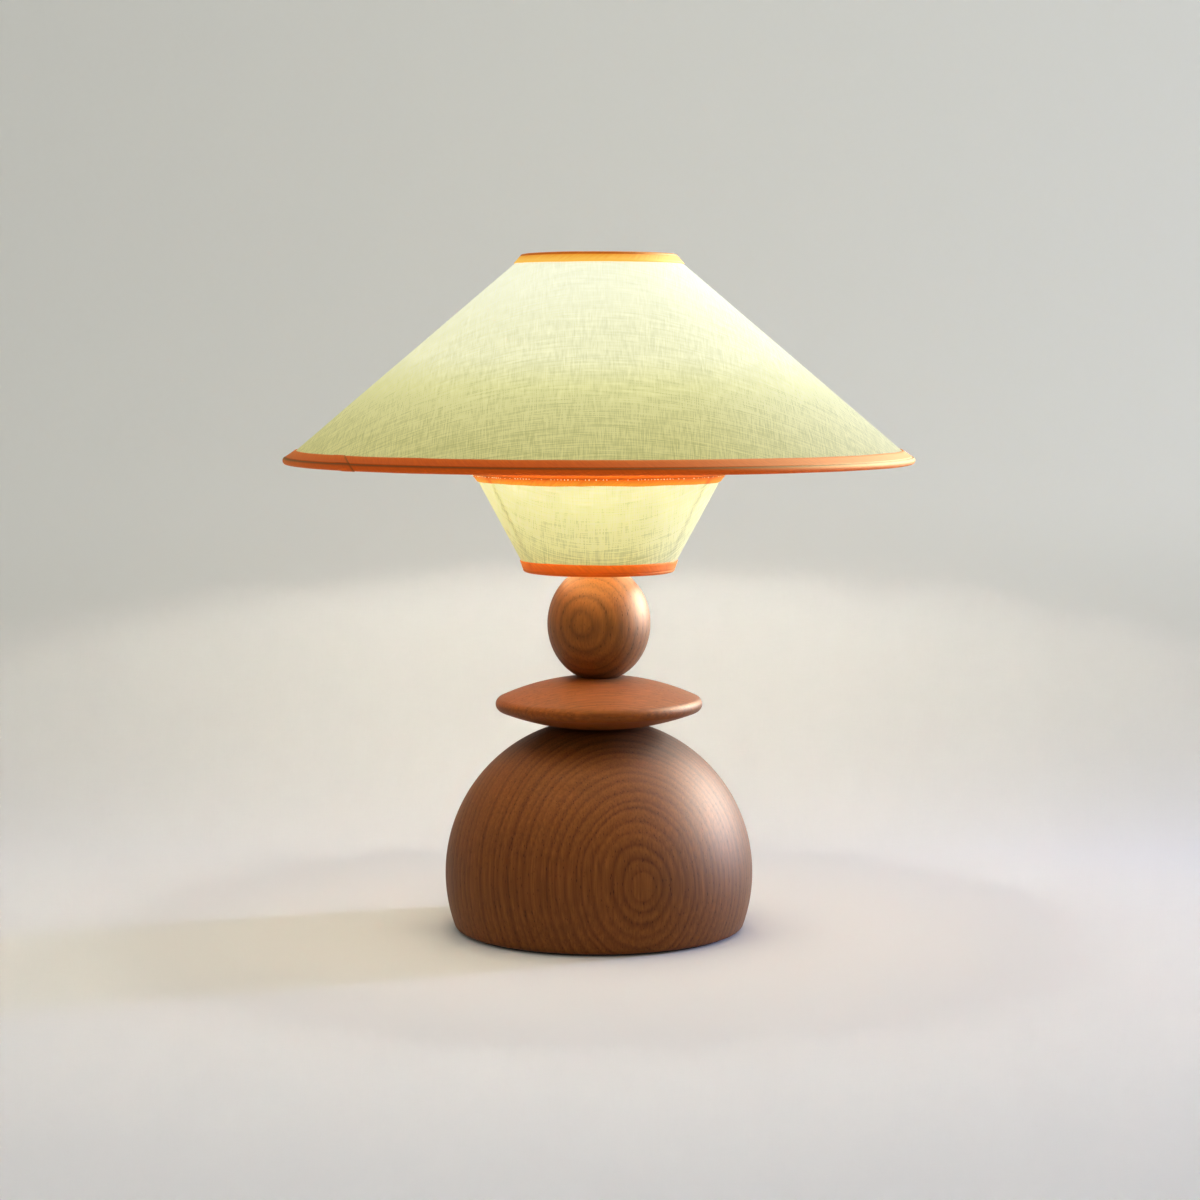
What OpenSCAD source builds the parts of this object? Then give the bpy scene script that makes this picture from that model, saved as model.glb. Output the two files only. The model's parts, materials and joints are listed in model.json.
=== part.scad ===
// Table lamp: a turned wooden dome, lens disc and egg on one threaded stem, an E27 lampholder
// with its bulb, and a cloth shade of two tiers, a wide cone over a small inverted one.
// Millimetres, +Z up, standing on Z = 0 with the stem on the Z axis. The cord inlet is at +Y.

/* [Wooden dome] */
// Diameter of the ball that the dome is turned from
dome_d = 173; // [150:1:210]
// Height of the ball's centre above the dome's underside
dome_centre_h = 30.8; // [24:0.1:40]
// Diameter of the flat seat on top of the dome
dome_seat_d = 55; // [40:1:80]
// Radius that eases the dome's bottom edge
dome_foot_r = 3; // [1:0.5:6]

/* [Wooden disc] */
// Diameter of the lens-shaped disc
disc_d = 116; // [90:1:150]
// Height of the disc between its flat seats
disc_h = 28.4; // [23:0.1:40]
// Height of the disc's widest level above its lower seat
disc_rim_h = 13.3; // [9:0.1:17]
// Radius of the disc's rounded rim
disc_rim_r = 4.1; // [2:0.1:6]
// Depth that each flat seat is cut into the disc's crown
disc_seat_cut = 0.7; // [0.3:0.1:2]

/* [Wooden egg] */
// Widest diameter of the egg
egg_d = 57.8; // [45:0.1:75]
// Height of the whole egg, before its ends are cut flat
egg_full_h = 65; // [50:0.5:85]
// Depth of the flat cut at each end of the egg
egg_end_cut = 2.4; // [1:0.1:6]

/* [Stem] */
// Outside diameter of the threaded stem tube
stem_d = 10; // [8:0.5:13]
// Bore of the stem tube
stem_bore_d = 7; // [6.4:0.1:7.6]
// Radial clearance of the stem in the wood
stem_gap = 0.25; // [0.1:0.05:0.6]
// Stem thread that shows below the nut
stem_tail = 3; // [1:0.5:6]
// Stem thread that stands above the lampholder's neck
stem_reach = 1; // [0.5:0.1:2]
// Width across the flats of the stem nut
nut_af = 17; // [15:0.5:21]
// Height of the stem nut
nut_h = 6; // [4:0.5:9]
// Diameter of the flat washer in the recess
washer_d = 24; // [20:1:34]
// Thickness of the flat washer
washer_t = 2; // [1:0.5:3]
// Diameter of the lock washer
lock_washer_d = 18; // [15:0.5:22]
// Thickness of the lock washer
lock_washer_t = 1.2; // [0.8:0.1:2]
// Diameter of the washer between egg and lampholder
seat_washer_d = 20; // [17:0.5:24]
// Thickness of the washer between egg and lampholder
seat_washer_t = 1.5; // [1:0.1:3]

/* [Underside] */
// Thickness of the felt ring that the lamp stands on
felt_t = 1.2; // [0.8:0.1:3]
// Distance of the felt ring's edges from the edges of the wood
felt_inset = 2; // [1:0.5:4]
// Width of the wooden ring left around the cover
foot_land = 14; // [10:0.5:18]
// Thickness of the cover
cover_t = 3; // [2:0.5:5]
// Radial clearance of the cover in its rebate
cover_gap = 0.3; // [0.1:0.1:1]
// Width of the ledge that the cover is screwed to
cover_ledge = 11; // [9:0.5:14]
// Depth of the recess in the dome's underside
recess_h = 26; // [23:0.5:34]
// Number of cover screws
cover_screws_n = 3; // [3:1:5]
// Shank diameter of a cover screw
cover_screw_d = 3.5; // [2.5:0.1:4.5]
// Head diameter of a cover screw
cover_screw_head_d = 7; // [6:0.1:8.5]
// Length of a cover screw
cover_screw_l = 12; // [9:0.5:18]

/* [Cord inlet] */
// Bore of the cord gland
gland_bore_d = 6.4; // [4:0.1:7]
// Outside diameter of the gland's sleeve
gland_sleeve_d = 10; // [9:0.1:12]
// Diameter of the gland's flange
gland_flange_d = 16; // [13:0.5:20]
// Thickness of the gland's flange
gland_flange_t = 2.5; // [1.5:0.1:4]
// Height of the gland's axis above the dome's underside
gland_h = 14; // [12:0.5:17]
// Radial clearance of the gland in its hole
gland_gap = 0.1; // [0.05:0.05:0.3]

/* [Terminal block and leads] */
// Width of the terminal block
block_w = 20; // [17:0.5:26]
// Depth of the terminal block
block_d = 15; // [12:0.5:18]
// Height of the terminal block
block_h = 12; // [11:0.5:15]
// Distance between the two leads in the block
block_pitch = 10; // [8:0.5:12]
// Distance of the block from the flat washer
block_gap = 6; // [4:0.5:9]
// Diameter of a clamping screw in the block
clamp_screw_d = 2.8; // [2:0.1:3.2]
// Diameter of the screw that holds the block
block_screw_d = 3; // [2.5:0.1:3.5]
// Depth of the block's screw in the wood
block_screw_bite = 10; // [6:0.5:16]
// Outside diameter of an insulated lead
lead_d = 2.2; // [1.6:0.1:2.6]
// Clearance around a lead in the block and in its terminal
lead_gap = 0.2; // [0.1:0.05:0.5]

/* [Lampholder] */
// Diameter of the lampholder's body
holder_d = 39; // [36:0.5:44]
// Diameter of the lampholder's neck
neck_d = 16; // [14:0.5:20]
// Height of the neck below the cap's shoulder
neck_h = 8; // [6.5:0.5:10]
// Height of the cap's rounded shoulder
shoulder_h = 9; // [6:0.5:10]
// Height of the wiring space between the neck and the core
wiring_h = 8; // [6.5:0.5:12]
// Height of the skirt above the cap
skirt_h = 36; // [33:0.5:46]
// Inside diameter of the skirt's mouth
skirt_bore_d = 30; // [29.4:0.1:31.4]
// Diameter of the flange that the shade sits on
flange_d = 47; // [44:0.5:52]
// Thickness of that flange
flange_t = 2.5; // [1.5:0.5:4]
// Height of that flange above the skirt's lower end
flange_rise = 5; // [2:0.5:9]
// Diameter of the ceramic core
core_d = 32; // [31.6:0.1:34]
// Height of the ceramic core
core_h = 11.5; // [10:0.5:16]
// Depth of the ceramic core in the cap
core_sink = 6; // [3:0.5:7]
// Radial clearance of the ceramic core
core_gap = 0.2; // [0.1:0.05:0.4]
// Diameter of a terminal post under the core
post_d = 5; // [4:0.5:7]
// Height of a terminal post
post_h = 4; // [3:0.5:5]
// Distance of a terminal post from the stem's axis
post_x = 7; // [6:0.5:8]
// Inside diameter of the brass screw shell
shell_bore_d = 27; // [26.9:0.1:28.2]
// Wall of the brass screw shell
shell_t = 0.5; // [0.3:0.1:0.7]
// Height of the brass screw shell
shell_h = 22; // [16:0.5:24]
// Diameter of the sprung centre contact
contact_d = 6; // [4:0.5:7]
// Length of the centre contact
contact_l = 8; // [7:0.5:9]
// Height of the contact's top above the shell's floor with the bulb screwed home
contact_proud = 3; // [2:0.5:4]
// Radial running clearance of the centre contact in the core
contact_gap = 0.06; // [0.02:0.01:0.1]
// Thickness of the core's floor under the contact's spring
core_floor = 2; // [1.5:0.5:3]
// Wall of the contact's spring, seen as a sleeve
spring_wall = 0.7; // [0.4:0.1:1]
// Diameter of the grub screw in the neck
grub_d = 3; // [2.5:0.1:4]
// Radial clearance of threads and screws
thread_gap = 0.08; // [0.04:0.02:0.2]

/* [Shade ring] */
// Diameter of the ring that clamps the shade
ring_d = 54; // [50:0.5:58]
// Height of the ring
ring_h = 9; // [6:0.5:14]
// Chamfer at the ring's outer edges
ring_chamfer = 1; // [0.5:0.1:2]
// Number of finger grips around the ring
ring_grips = 18; // [10:1:24]
// Radius of a finger grip
ring_grip_r = 1.6; // [1:0.1:2.5]

/* [Bulb] */
// Diameter of the bulb's globe
bulb_d = 60; // [45:1:64]
// Length of the bulb from its tip to the top of the glass
bulb_l = 108; // [95:1:125]
// Diameter of the bulb's screw cap
bulb_cap_d = 26.4; // [25:0.1:26.4]
// Length of the bulb's screw cap
bulb_cap_l = 21; // [18:0.5:23]
// Wall of the bulb's screw cap
bulb_cap_t = 0.5; // [0.3:0.1:0.8]
// Height of the black insulator under the cap
insulator_h = 4.5; // [3:0.5:6]
// Diameter of the insulator where it meets the tip
insulator_low_d = 11; // [10:0.5:13]
// Diameter of the insulator where it meets the cap
insulator_top_d = 23; // [18:0.5:24]
// Diameter of the contact plate at the bulb's tip
tip_d = 9.6; // [8:0.1:10.6]
// Thickness of that contact plate
tip_t = 1.5; // [1:0.1:2.5]
// Wall of the bulb's glass
glass_t = 1; // [0.6:0.1:1.6]
// Clearance between the glass and what it is cemented to
glass_gap = 0.2; // [0.1:0.05:0.4]
// Depth of the glass neck in the cap
glass_sink = 8; // [5:0.5:12]
// Straight neck of the glass above the cap
glass_neck_h = 3; // [1:0.5:6]
// Diameter of the post of the glass stem
stem_post_d = 6; // [4:0.5:9]
// Height of the post of the glass stem
stem_post_h = 30; // [22:0.5:34]
// Number of glowing filaments
filaments_n = 4; // [3:1:6]
// Diameter of a filament
filament_d = 1.8; // [1.2:0.1:2.4]
// Length of a filament
filament_l = 32; // [24:0.5:36]
// Distance of a filament from the bulb's axis
filament_x = 8; // [6:0.5:10]
// Diameter of the wires that carry the filaments
filament_wire_d = 0.8; // [0.5:0.1:1]

/* [Shade cloth] */
// Diameter of the hat over its bottom edge
hat_rim_d = 350.8; // [300:0.2:400]
// Diameter of the hat over its top edge
hat_top_d = 88.2; // [80:0.2:110]
// Height of the hat from edge to edge
hat_h = 115.6; // [95:0.1:140]
// Diameter of the cup over its top edge
cup_top_d = 143; // [128:0.2:170]
// Diameter of the cup over its bottom edge
cup_bottom_d = 85.4; // [76:0.2:100]
// Height of the cup from edge to edge
cup_h = 57.9; // [50:0.1:70]
// Gap between the cup's top edge and the level of the hat's bottom edge
tier_gap = 2.9; // [2.4:0.1:12]
// Thickness of the cloth
cloth_t = 0.5; // [0.3:0.1:0.8]
// Thickness of the plastic lining behind the cloth
liner_t = 0.5; // [0.3:0.1:1]
// Glue line between cloth and lining
glue_t = 0.1; // [0.05:0.05:0.2]
// Thickness of the edge tape
tape_t = 0.5; // [0.3:0.1:0.8]
// Clearance of the edge tape around the wire and the wall
tape_gap = 0.1; // [0.05:0.05:0.2]
// Width of the tape on the hat's bottom edge, from the wire's centre
rim_tape_w = 7.4; // [5:0.1:12]
// Width of the tape on the hat's top edge, from the wire's centre
top_tape_w = 6; // [5:0.1:12]
// Width of the tape on the cup's edges, from the wire's centre
cup_tape_w = 6.7; // [5:0.1:12]

/* [Shade frame] */
// Diameter of the wire in the four edge rings
edge_wire_d = 3; // [2:0.1:4]
// Diameter of the straight frame wires
frame_wire_d = 2.6; // [2:0.1:3]
// Number of frame wires of each kind
frame_wires_n = 3; // [3:1:4]
// Depth that welded wires sink into each other
weld_sink = 0.25; // [0.1:0.05:0.4]
// Angle below the rim wire's middle at which a spoke is welded to it
spoke_weld_a = 40; // [30:1:60]
// Height of the fitter above the cup's bottom edge
fitter_rise = 32.75; // [27:0.05:38]
// Thickness of the fitter plate
fitter_t = 1.2; // [0.8:0.1:2]
// Diameter of the fitter plate
fitter_d = 62; // [60:0.5:68]
// Radial clearance of the fitter's hole on the lampholder
fitter_gap = 0.6; // [0.3:0.1:1]
// Clearance over and under the fitter, on which the shade turns
fitter_play = 0.05; // [0.03:0.01:0.2]

/* [Hidden] */
$fn = 96;

// A cut runs this far past the face that it opens
over = 1;
// Pilot clearance between faces that only just touch
touch = 0.05;

// Levels of the wooden pieces
wood_z = felt_t;
dome_r = dome_d / 2;
ball_z = wood_z + dome_centre_h;
dome_foot_x = sqrt((dome_r - dome_foot_r) ^ 2 - (dome_centre_h - dome_foot_r) ^ 2);
dome_foot_a = atan2(dome_foot_r - dome_centre_h, dome_foot_x);
dome_seat_a = acos(dome_seat_d / 2 / dome_r);
disc_z = ball_z + dome_r * sin(dome_seat_a);
disc_rim_x = disc_d / 2 - disc_rim_r;
disc_rim_z = disc_z + disc_rim_h;
egg_z = disc_z + disc_h;
egg_r_z = egg_full_h / 2;
egg_mid_z = egg_z + egg_r_z - egg_end_cut;
egg_end_a = asin((egg_r_z - egg_end_cut) / egg_r_z);
egg_top_z = egg_mid_z + egg_r_z - egg_end_cut;
stem_hole_r = stem_d / 2 + stem_gap;

// Recess and cover under the dome
cover_r = dome_foot_x - foot_land;
recess_r = cover_r - cover_ledge;
recess_z = wood_z + recess_h;
cover_screw_x = cover_r - cover_ledge / 2;
cover_screw_head_h = (cover_screw_head_d - cover_screw_d) / 2;

// Nut and washers under the recess's ceiling
lock_washer_z = recess_z - washer_t - lock_washer_t;
nut_z = lock_washer_z - nut_h;
stem_z = nut_z - stem_tail;

// Cord gland in the dome's back
gland_z = wood_z + gland_h;
gland_seat_r = gland_flange_d / 2 + gland_gap;
gland_seat_drop = abs(dome_centre_h - gland_h) + gland_seat_r;
gland_seat_y = sqrt(dome_r ^ 2 - gland_seat_drop ^ 2 - gland_seat_r ^ 2);
gland_l = gland_seat_y + gland_flange_t - recess_r;

// Terminal block on the recess's ceiling
block_y = washer_d / 2 + block_gap;
block_lead_z = recess_z - block_h / 2;
clamp_screw_l = block_h / 2 - lead_d / 2 - touch;

// Lampholder, from the seat washer up
holder_z = egg_top_z + seat_washer_t;
holder_r = holder_d / 2;
neck_top_z = holder_z + neck_h;
stem_top_z = neck_top_z + stem_reach;
core_z = neck_top_z + wiring_h;
core_top_z = core_z + core_h;
post_z = core_z - post_h;
cap_top_z = core_z + core_sink;
core_hole_r = core_d / 2 + core_gap;
cavity_r = post_x + post_d / 2 + 4 * core_gap;
skirt_top_z = cap_top_z + skirt_h;
flange_z = cap_top_z + flange_rise;
tip_z = core_top_z + shell_t + contact_proud;
contact_z = tip_z - contact_l;
spring_z = core_z + core_floor;

// Shade levels, from the flange that carries it
fitter_z = flange_z + flange_t + fitter_play;
fitter_mid_z = fitter_z + fitter_t / 2;
ring_z = fitter_z + fitter_t + fitter_play;
edge_wire_r = edge_wire_d / 2;
frame_wire_r = frame_wire_d / 2;
bead_r = edge_wire_r + tape_gap + tape_t;
cup_z = fitter_mid_z - fitter_rise;
hat_z = cup_z + cup_h + tier_gap;
cup_foot = [cup_bottom_d / 2 - bead_r, cup_z + bead_r];
cup_head = [cup_top_d / 2 - bead_r, cup_z + cup_h - bead_r];
hat_foot = [hat_rim_d / 2 - bead_r, hat_z + bead_r];
hat_head = [hat_top_d / 2 - bead_r, hat_z + hat_h - bead_r];
weld_reach = edge_wire_r + frame_wire_r - weld_sink;
cup_inward = [cup_foot.y - cup_head.y, cup_head.x - cup_foot.x] / norm(cup_head - cup_foot);
strut_foot = cup_foot + cup_inward * weld_reach;
strut_head = cup_head + cup_inward * weld_reach;
strut_x_at_fitter = strut_foot.x
    + (strut_head.x - strut_foot.x) * (fitter_mid_z - strut_foot.y) / (strut_head.y - strut_foot.y);
spoke_start = [cup_head.x, cup_head.y + weld_reach];
spoke_end = hat_foot - (edge_wire_r - weld_sink) * [cos(spoke_weld_a), sin(spoke_weld_a)];

// Bulb levels, from its tip up
bulb_z = tip_z + touch;
insulator_z = bulb_z + tip_t;
bulb_cap_z = insulator_z + insulator_h;
bulb_cap_top_z = bulb_cap_z + bulb_cap_l;
globe_r = bulb_d / 2;
globe_z = bulb_z + bulb_l - globe_r;
glass_neck_r = bulb_cap_d / 2 - bulb_cap_t - glass_gap;
glass_z = bulb_cap_top_z - glass_sink;
glass_neck_z = bulb_cap_top_z + glass_neck_h;
stem_flare_t = 2 * glass_t;
post_top_z = glass_z + stem_flare_t + stem_post_h;
filament_z = post_top_z + filament_wire_d;

function arc(centre, r, from, to, steps, first = 0) = [
    for (i = [first:steps])
        let (a = from + (to - from) * i / steps)
        centre + r * [cos(a), sin(a)]
];

// Outline of the dome: eased bottom edge, ball, flat seat
function dome_outline() = concat(
    [[0, wood_z]],
    arc([dome_foot_x, wood_z + dome_foot_r], dome_foot_r, -90, dome_foot_a, 6),
    arc([0, ball_z], dome_r, dome_foot_a, dome_seat_a, 60, 1),
    [[0, disc_z]]
);

// Radius of a crown of height h that runs smoothly into the disc's rim
function crown_r(h) = (disc_rim_x ^ 2 + h ^ 2 - disc_rim_r ^ 2) / (2 * (h - disc_rim_r));

// Outline of the disc: lower seat and crown, rim, upper crown and seat
function disc_outline() =
    let (
        low_h = disc_rim_h + disc_seat_cut,
        top_h = disc_h - disc_rim_h + disc_seat_cut,
        low_r = crown_r(low_h),
        top_r = crown_r(top_h),
        low_rim_a = atan2(low_r - low_h, disc_rim_x),
        top_rim_a = atan2(top_r - top_h, disc_rim_x),
        low_seat_a = asin((low_r - disc_seat_cut) / low_r),
        top_seat_a = asin((top_r - disc_seat_cut) / top_r)
    )
    concat(
        [[0, disc_z]],
        arc([0, disc_rim_z + low_r - low_h], low_r, -low_seat_a, -low_rim_a, 24),
        arc([disc_rim_x, disc_rim_z], disc_rim_r, -low_rim_a, top_rim_a, 12, 1),
        arc([0, disc_rim_z - top_r + top_h], top_r, top_rim_a, top_seat_a, 24, 1),
        [[0, egg_z]]
    );

// Outline of the egg: an ellipse between its two flat ends
function egg_outline() = concat(
    [[0, egg_z]],
    [for (i = [0:48])
        let (a = egg_end_a * (i / 24 - 1))
        [egg_d / 2 * cos(a), egg_mid_z + egg_r_z * sin(a)]],
    [[0, egg_top_z]]
);

// Outline of the bulb's glass at a distance inside its outer face: neck, flare, globe
function glass_outline(inside) =
    let (
        neck = [glass_neck_r - inside, glass_neck_z],
        r = globe_r - inside,
        d = neck - [0, globe_z],
        flare_a = atan2(d.y, d.x) + acos(r / norm(d))
    )
    concat(
        [[neck.x, glass_z], neck],
        arc([0, globe_z], r, flare_a, 90, 40)
    );

// Points of a lead, from the terminal block down, up the stem and out to its post; side is 1 or -1
function lead_route(side) =
    let (
        block_x = side * block_pitch / 2,
        stem_x = side * (stem_bore_d / 4 - touch),
        low_z = stem_z - 6,
        post = side * post_x
    )
    [
        [block_x, block_y + block_d / 3, block_lead_z],
        [block_x, block_y - 1.5, block_lead_z],
        [block_x, block_y - 4.5, block_lead_z - 3],
        [block_x * 0.8, block_y - 7, low_z + 6],
        [block_x * 0.6, block_y - 10, low_z + 1.5],
        [block_x * 0.45, block_y - 13.5, low_z],
        [stem_x, stem_bore_d / 4, low_z + 2],
        [stem_x, 0, stem_z - 0.5],
        [stem_x, 0, stem_z + 4],
        [stem_x, 0, stem_top_z - 2],
        [stem_x, 0, stem_top_z],
        [(stem_x + post) / 2, 0, (stem_top_z + post_z) / 2],
        [post, 0, post_z],
        [post, 0, core_z - touch]
    ];

// One round tube along a list of points that never run along X
module swept_tube(route, r) {
    sides = 8;
    last = len(route) - 1;
    rings = [
        for (i = [0:last])
            let (
                ahead = route[min(i + 1, last)] - route[max(i - 1, 0)],
                t = ahead / norm(ahead),
                v0 = cross(t, [1, 0, 0]),
                v = v0 / norm(v0),
                u = cross(v, t)
            )
            for (k = [0:sides - 1])
                route[i] + r * (u * cos(k * 360 / sides) + v * sin(k * 360 / sides))
    ];
    walls = [
        for (i = [0:last - 1], k = [0:sides - 1])
            let (a = i * sides + k, b = i * sides + (k + 1) % sides)
            for (face = [[a, b, b + sides], [a, b + sides, a + sides]])
                face
    ];
    ends = [
        for (k = [1:sides - 2])
            for (face = [[0, k + 1, k], [last * sides, last * sides + k, last * sides + k + 1]])
                face
    ];
    polyhedron(points = rings, faces = concat(walls, ends));
}

// A flat ring between two radii
module flat_ring(inner_r, outer_r, z, h) {
    translate([0, 0, z])
        difference() {
            cylinder(r = outer_r, h = h);
            translate([0, 0, -over]) cylinder(r = inner_r, h = h + 2 * over);
        }
}

// The stem's hole through a wooden piece
module stem_hole(z, h) {
    translate([0, 0, z - over]) cylinder(r = stem_hole_r, h = h + 2 * over);
}

// A straight round wire between two points given as radius and height
module wire(from, to, r) {
    run = to - from;
    translate([from.x, 0, from.y])
        rotate([0, 90 - atan2(run.y, run.x), 0])
            cylinder(r = r, h = norm(run));
}

// Copies around the Z axis, the first one at the back
module around_axis(n) {
    for (i = [0:n - 1])
        rotate([0, 0, 90 + i * 360 / n]) children();
}

// A flat outline set on a shade wall: X runs from the foot wire to the head wire, Y points inwards
module on_wall(foot, head) {
    translate(foot) rotate(atan2(head.y - foot.y, head.x - foot.x)) children();
}

// A wire ring in the edge of a shade wall
module edge_ring(centre) {
    rotate_extrude() translate(centre) circle(r = edge_wire_r);
}

// One layer of a shade wall, from its depth behind the wall's middle
module wall_layer(foot, head, depth, thickness) {
    start = edge_wire_r + tape_gap;
    rotate_extrude()
        on_wall(foot, head)
            translate([start, depth])
                square([norm(head - foot) - 2 * start, thickness]);
}

// Tape folded over an edge wire and both faces of the wall that leaves it towards another point
module edge_tape(edge, towards, width) {
    outer_y = cloth_t + glue_t / 2 + tape_gap;
    inner_y = liner_t + glue_t / 2 + tape_gap;
    facing = towards.y > edge.y ? 1 : -1;
    rotate_extrude()
        on_wall(edge, towards)
            scale([1, facing])
                difference() {
                    union() {
                        circle(r = bead_r);
                        translate([0, -outer_y - tape_t]) square([width, outer_y + inner_y + 2 * tape_t]);
                    }
                    circle(r = edge_wire_r + tape_gap);
                    translate([0, -outer_y]) square([width + over, outer_y + inner_y]);
                }
}

// Cup struts with their wire grown by a clearance
module strut_wires(gap = 0) {
    around_axis(frame_wires_n) wire(strut_foot, strut_head, frame_wire_r + gap);
}

// Hat spokes with their wire grown by a clearance
module spoke_wires(gap = 0) {
    around_axis(frame_wires_n) wire(spoke_start, spoke_end, frame_wire_r + gap);
}

module base_dome() {
    color("#6b3a20")
        difference() {
            rotate_extrude() polygon(dome_outline());
            stem_hole(recess_z, disc_z - recess_z);
            translate([0, 0, wood_z - over]) cylinder(r = recess_r, h = recess_h + over);
            translate([0, 0, wood_z - over]) cylinder(r = cover_r, h = cover_t + over);
            around_axis(cover_screws_n)
                translate([-cover_screw_x, 0, wood_z])
                    cylinder(d = cover_screw_d + 2 * thread_gap, h = cover_screw_l + touch);
            translate([0, recess_r - over, gland_z])
                rotate([-90, 0, 0])
                    cylinder(d = gland_sleeve_d + 2 * gland_gap, h = dome_r);
            translate([0, gland_seat_y, gland_z])
                rotate([-90, 0, 0])
                    cylinder(r = gland_seat_r, h = dome_r);
            translate([0, block_y + block_d / 2, recess_z - over])
                cylinder(d = block_screw_d + 2 * thread_gap, h = block_screw_bite + over + touch);
        }
}

module lens_disc() {
    color("#7a4526")
        difference() {
            rotate_extrude() polygon(disc_outline());
            stem_hole(disc_z, disc_h);
        }
}

module wooden_egg() {
    color("#7c4424")
        difference() {
            rotate_extrude() polygon(egg_outline());
            stem_hole(egg_z, egg_top_z - egg_z);
        }
}

module base_cover() {
    color("#3a3632")
        difference() {
            translate([0, 0, wood_z]) cylinder(r = cover_r - cover_gap, h = cover_t);
            around_axis(cover_screws_n)
                translate([-cover_screw_x, 0, wood_z]) {
                    translate([0, 0, -over])
                        cylinder(d = cover_screw_d + 4 * thread_gap, h = cover_t + 2 * over);
                    cylinder(
                        d1 = cover_screw_head_d + 4 * thread_gap,
                        d2 = cover_screw_d + 4 * thread_gap,
                        h = cover_screw_head_h
                    );
                }
        }
}

module cover_screws() {
    color("#b9b9b4")
        around_axis(cover_screws_n)
            translate([-cover_screw_x, 0, wood_z]) {
                cylinder(d1 = cover_screw_head_d, d2 = cover_screw_d, h = cover_screw_head_h);
                cylinder(d = cover_screw_d, h = cover_screw_l);
            }
}

module felt_ring() {
    color("#4a4742") flat_ring(cover_r + felt_inset, dome_foot_x - felt_inset, 0, felt_t);
}

module cord_gland() {
    color("#2b2622")
        translate([0, 0, gland_z])
            rotate([-90, 0, 0])
                difference() {
                    union() {
                        translate([0, 0, recess_r]) cylinder(d = gland_sleeve_d, h = gland_l);
                        translate([0, 0, gland_seat_y]) cylinder(d = gland_flange_d, h = gland_flange_t);
                    }
                    translate([0, 0, recess_r - over]) cylinder(d = gland_bore_d, h = dome_r);
                }
}

module stem_tube() {
    color("#b5a36a") flat_ring(stem_bore_d / 2, stem_d / 2, stem_z, stem_top_z - stem_z);
}

module stem_nut() {
    color("#b9b9b4")
        translate([0, 0, nut_z])
            difference() {
                cylinder(r = nut_af / 2 / cos(30), h = nut_h, $fn = 6);
                translate([0, 0, -over]) cylinder(r = stem_d / 2 + thread_gap, h = nut_h + 2 * over);
            }
}

module lock_washer() {
    color("#a9a9a4") flat_ring(stem_d / 2 + thread_gap, lock_washer_d / 2, lock_washer_z, lock_washer_t);
}

module flat_washer() {
    color("#c4c4be") flat_ring(stem_hole_r, washer_d / 2, recess_z - washer_t, washer_t);
}

module seat_washer() {
    color("#b5a36a") flat_ring(stem_hole_r, seat_washer_d / 2, egg_top_z, seat_washer_t);
}

module terminal_block() {
    color("#e6e2d6")
        difference() {
            translate([-block_w / 2, block_y, recess_z - block_h]) cube([block_w, block_d, block_h]);
            for (x = [-1, 1] * block_pitch / 2) {
                translate([x, block_y - over, block_lead_z])
                    rotate([-90, 0, 0])
                        cylinder(d = lead_d + 2 * lead_gap, h = block_d + 2 * over);
                for (share = [1 / 5, 4 / 5])
                    translate([x, block_y + block_d * share, recess_z - block_h - over])
                        cylinder(d = clamp_screw_d + 2 * thread_gap, h = block_h / 2 + over);
            }
            translate([0, block_y + block_d / 2, recess_z - block_h - over])
                cylinder(d = block_screw_d + 2 * thread_gap, h = block_h + 2 * over);
        }
}

module clamp_screws() {
    color("#c8c8c2")
        for (x = [-1, 1] * block_pitch / 2, share = [1 / 5, 4 / 5])
            translate([x, block_y + block_d * share, recess_z - block_h])
                cylinder(d = clamp_screw_d, h = clamp_screw_l);
}

module block_screw() {
    head_h = block_screw_d / 2;
    color("#c8c8c2")
        translate([0, block_y + block_d / 2, recess_z - block_h - head_h]) {
            cylinder(d = 2 * block_screw_d, h = head_h);
            cylinder(d = block_screw_d, h = head_h + block_h + block_screw_bite);
        }
}

module live_lead() {
    color("#7a4a2a") swept_tube(lead_route(1), lead_d / 2);
}

module neutral_lead() {
    color("#3f6fb0") swept_tube(lead_route(-1), lead_d / 2);
}

module holder_cap() {
    shoulder = [
        for (i = [0:16])
            let (a = -90 + 90 * i / 16)
            [neck_d / 2 + (holder_r - neck_d / 2) * cos(a),
                neck_top_z + shoulder_h * (1 + sin(a))]
    ];
    color("#2a2725")
        difference() {
            rotate_extrude()
                polygon(concat(
                    [[0, holder_z], [neck_d / 2, holder_z]],
                    shoulder,
                    [[holder_r, cap_top_z], [0, cap_top_z]]
                ));
            translate([0, 0, holder_z - over]) cylinder(r = stem_d / 2 + thread_gap, h = core_z - holder_z);
            translate([0, 0, stem_top_z]) cylinder(r1 = stem_d / 2, r2 = cavity_r, h = post_z - stem_top_z);
            translate([0, 0, post_z]) cylinder(r = cavity_r, h = post_h + over);
            translate([0, 0, core_z]) cylinder(r = core_hole_r, h = core_sink + over);
            translate([0, 0, holder_z + neck_h / 2])
                rotate([0, -90, 0])
                    cylinder(d = grub_d + 2 * thread_gap, h = neck_d);
        }
}

module holder_core() {
    color("#efece4")
        difference() {
            translate([0, 0, core_z]) cylinder(d = core_d, h = core_h);
            translate([0, 0, spring_z]) cylinder(r = contact_d / 2 + contact_gap, h = core_h);
        }
}

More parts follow.
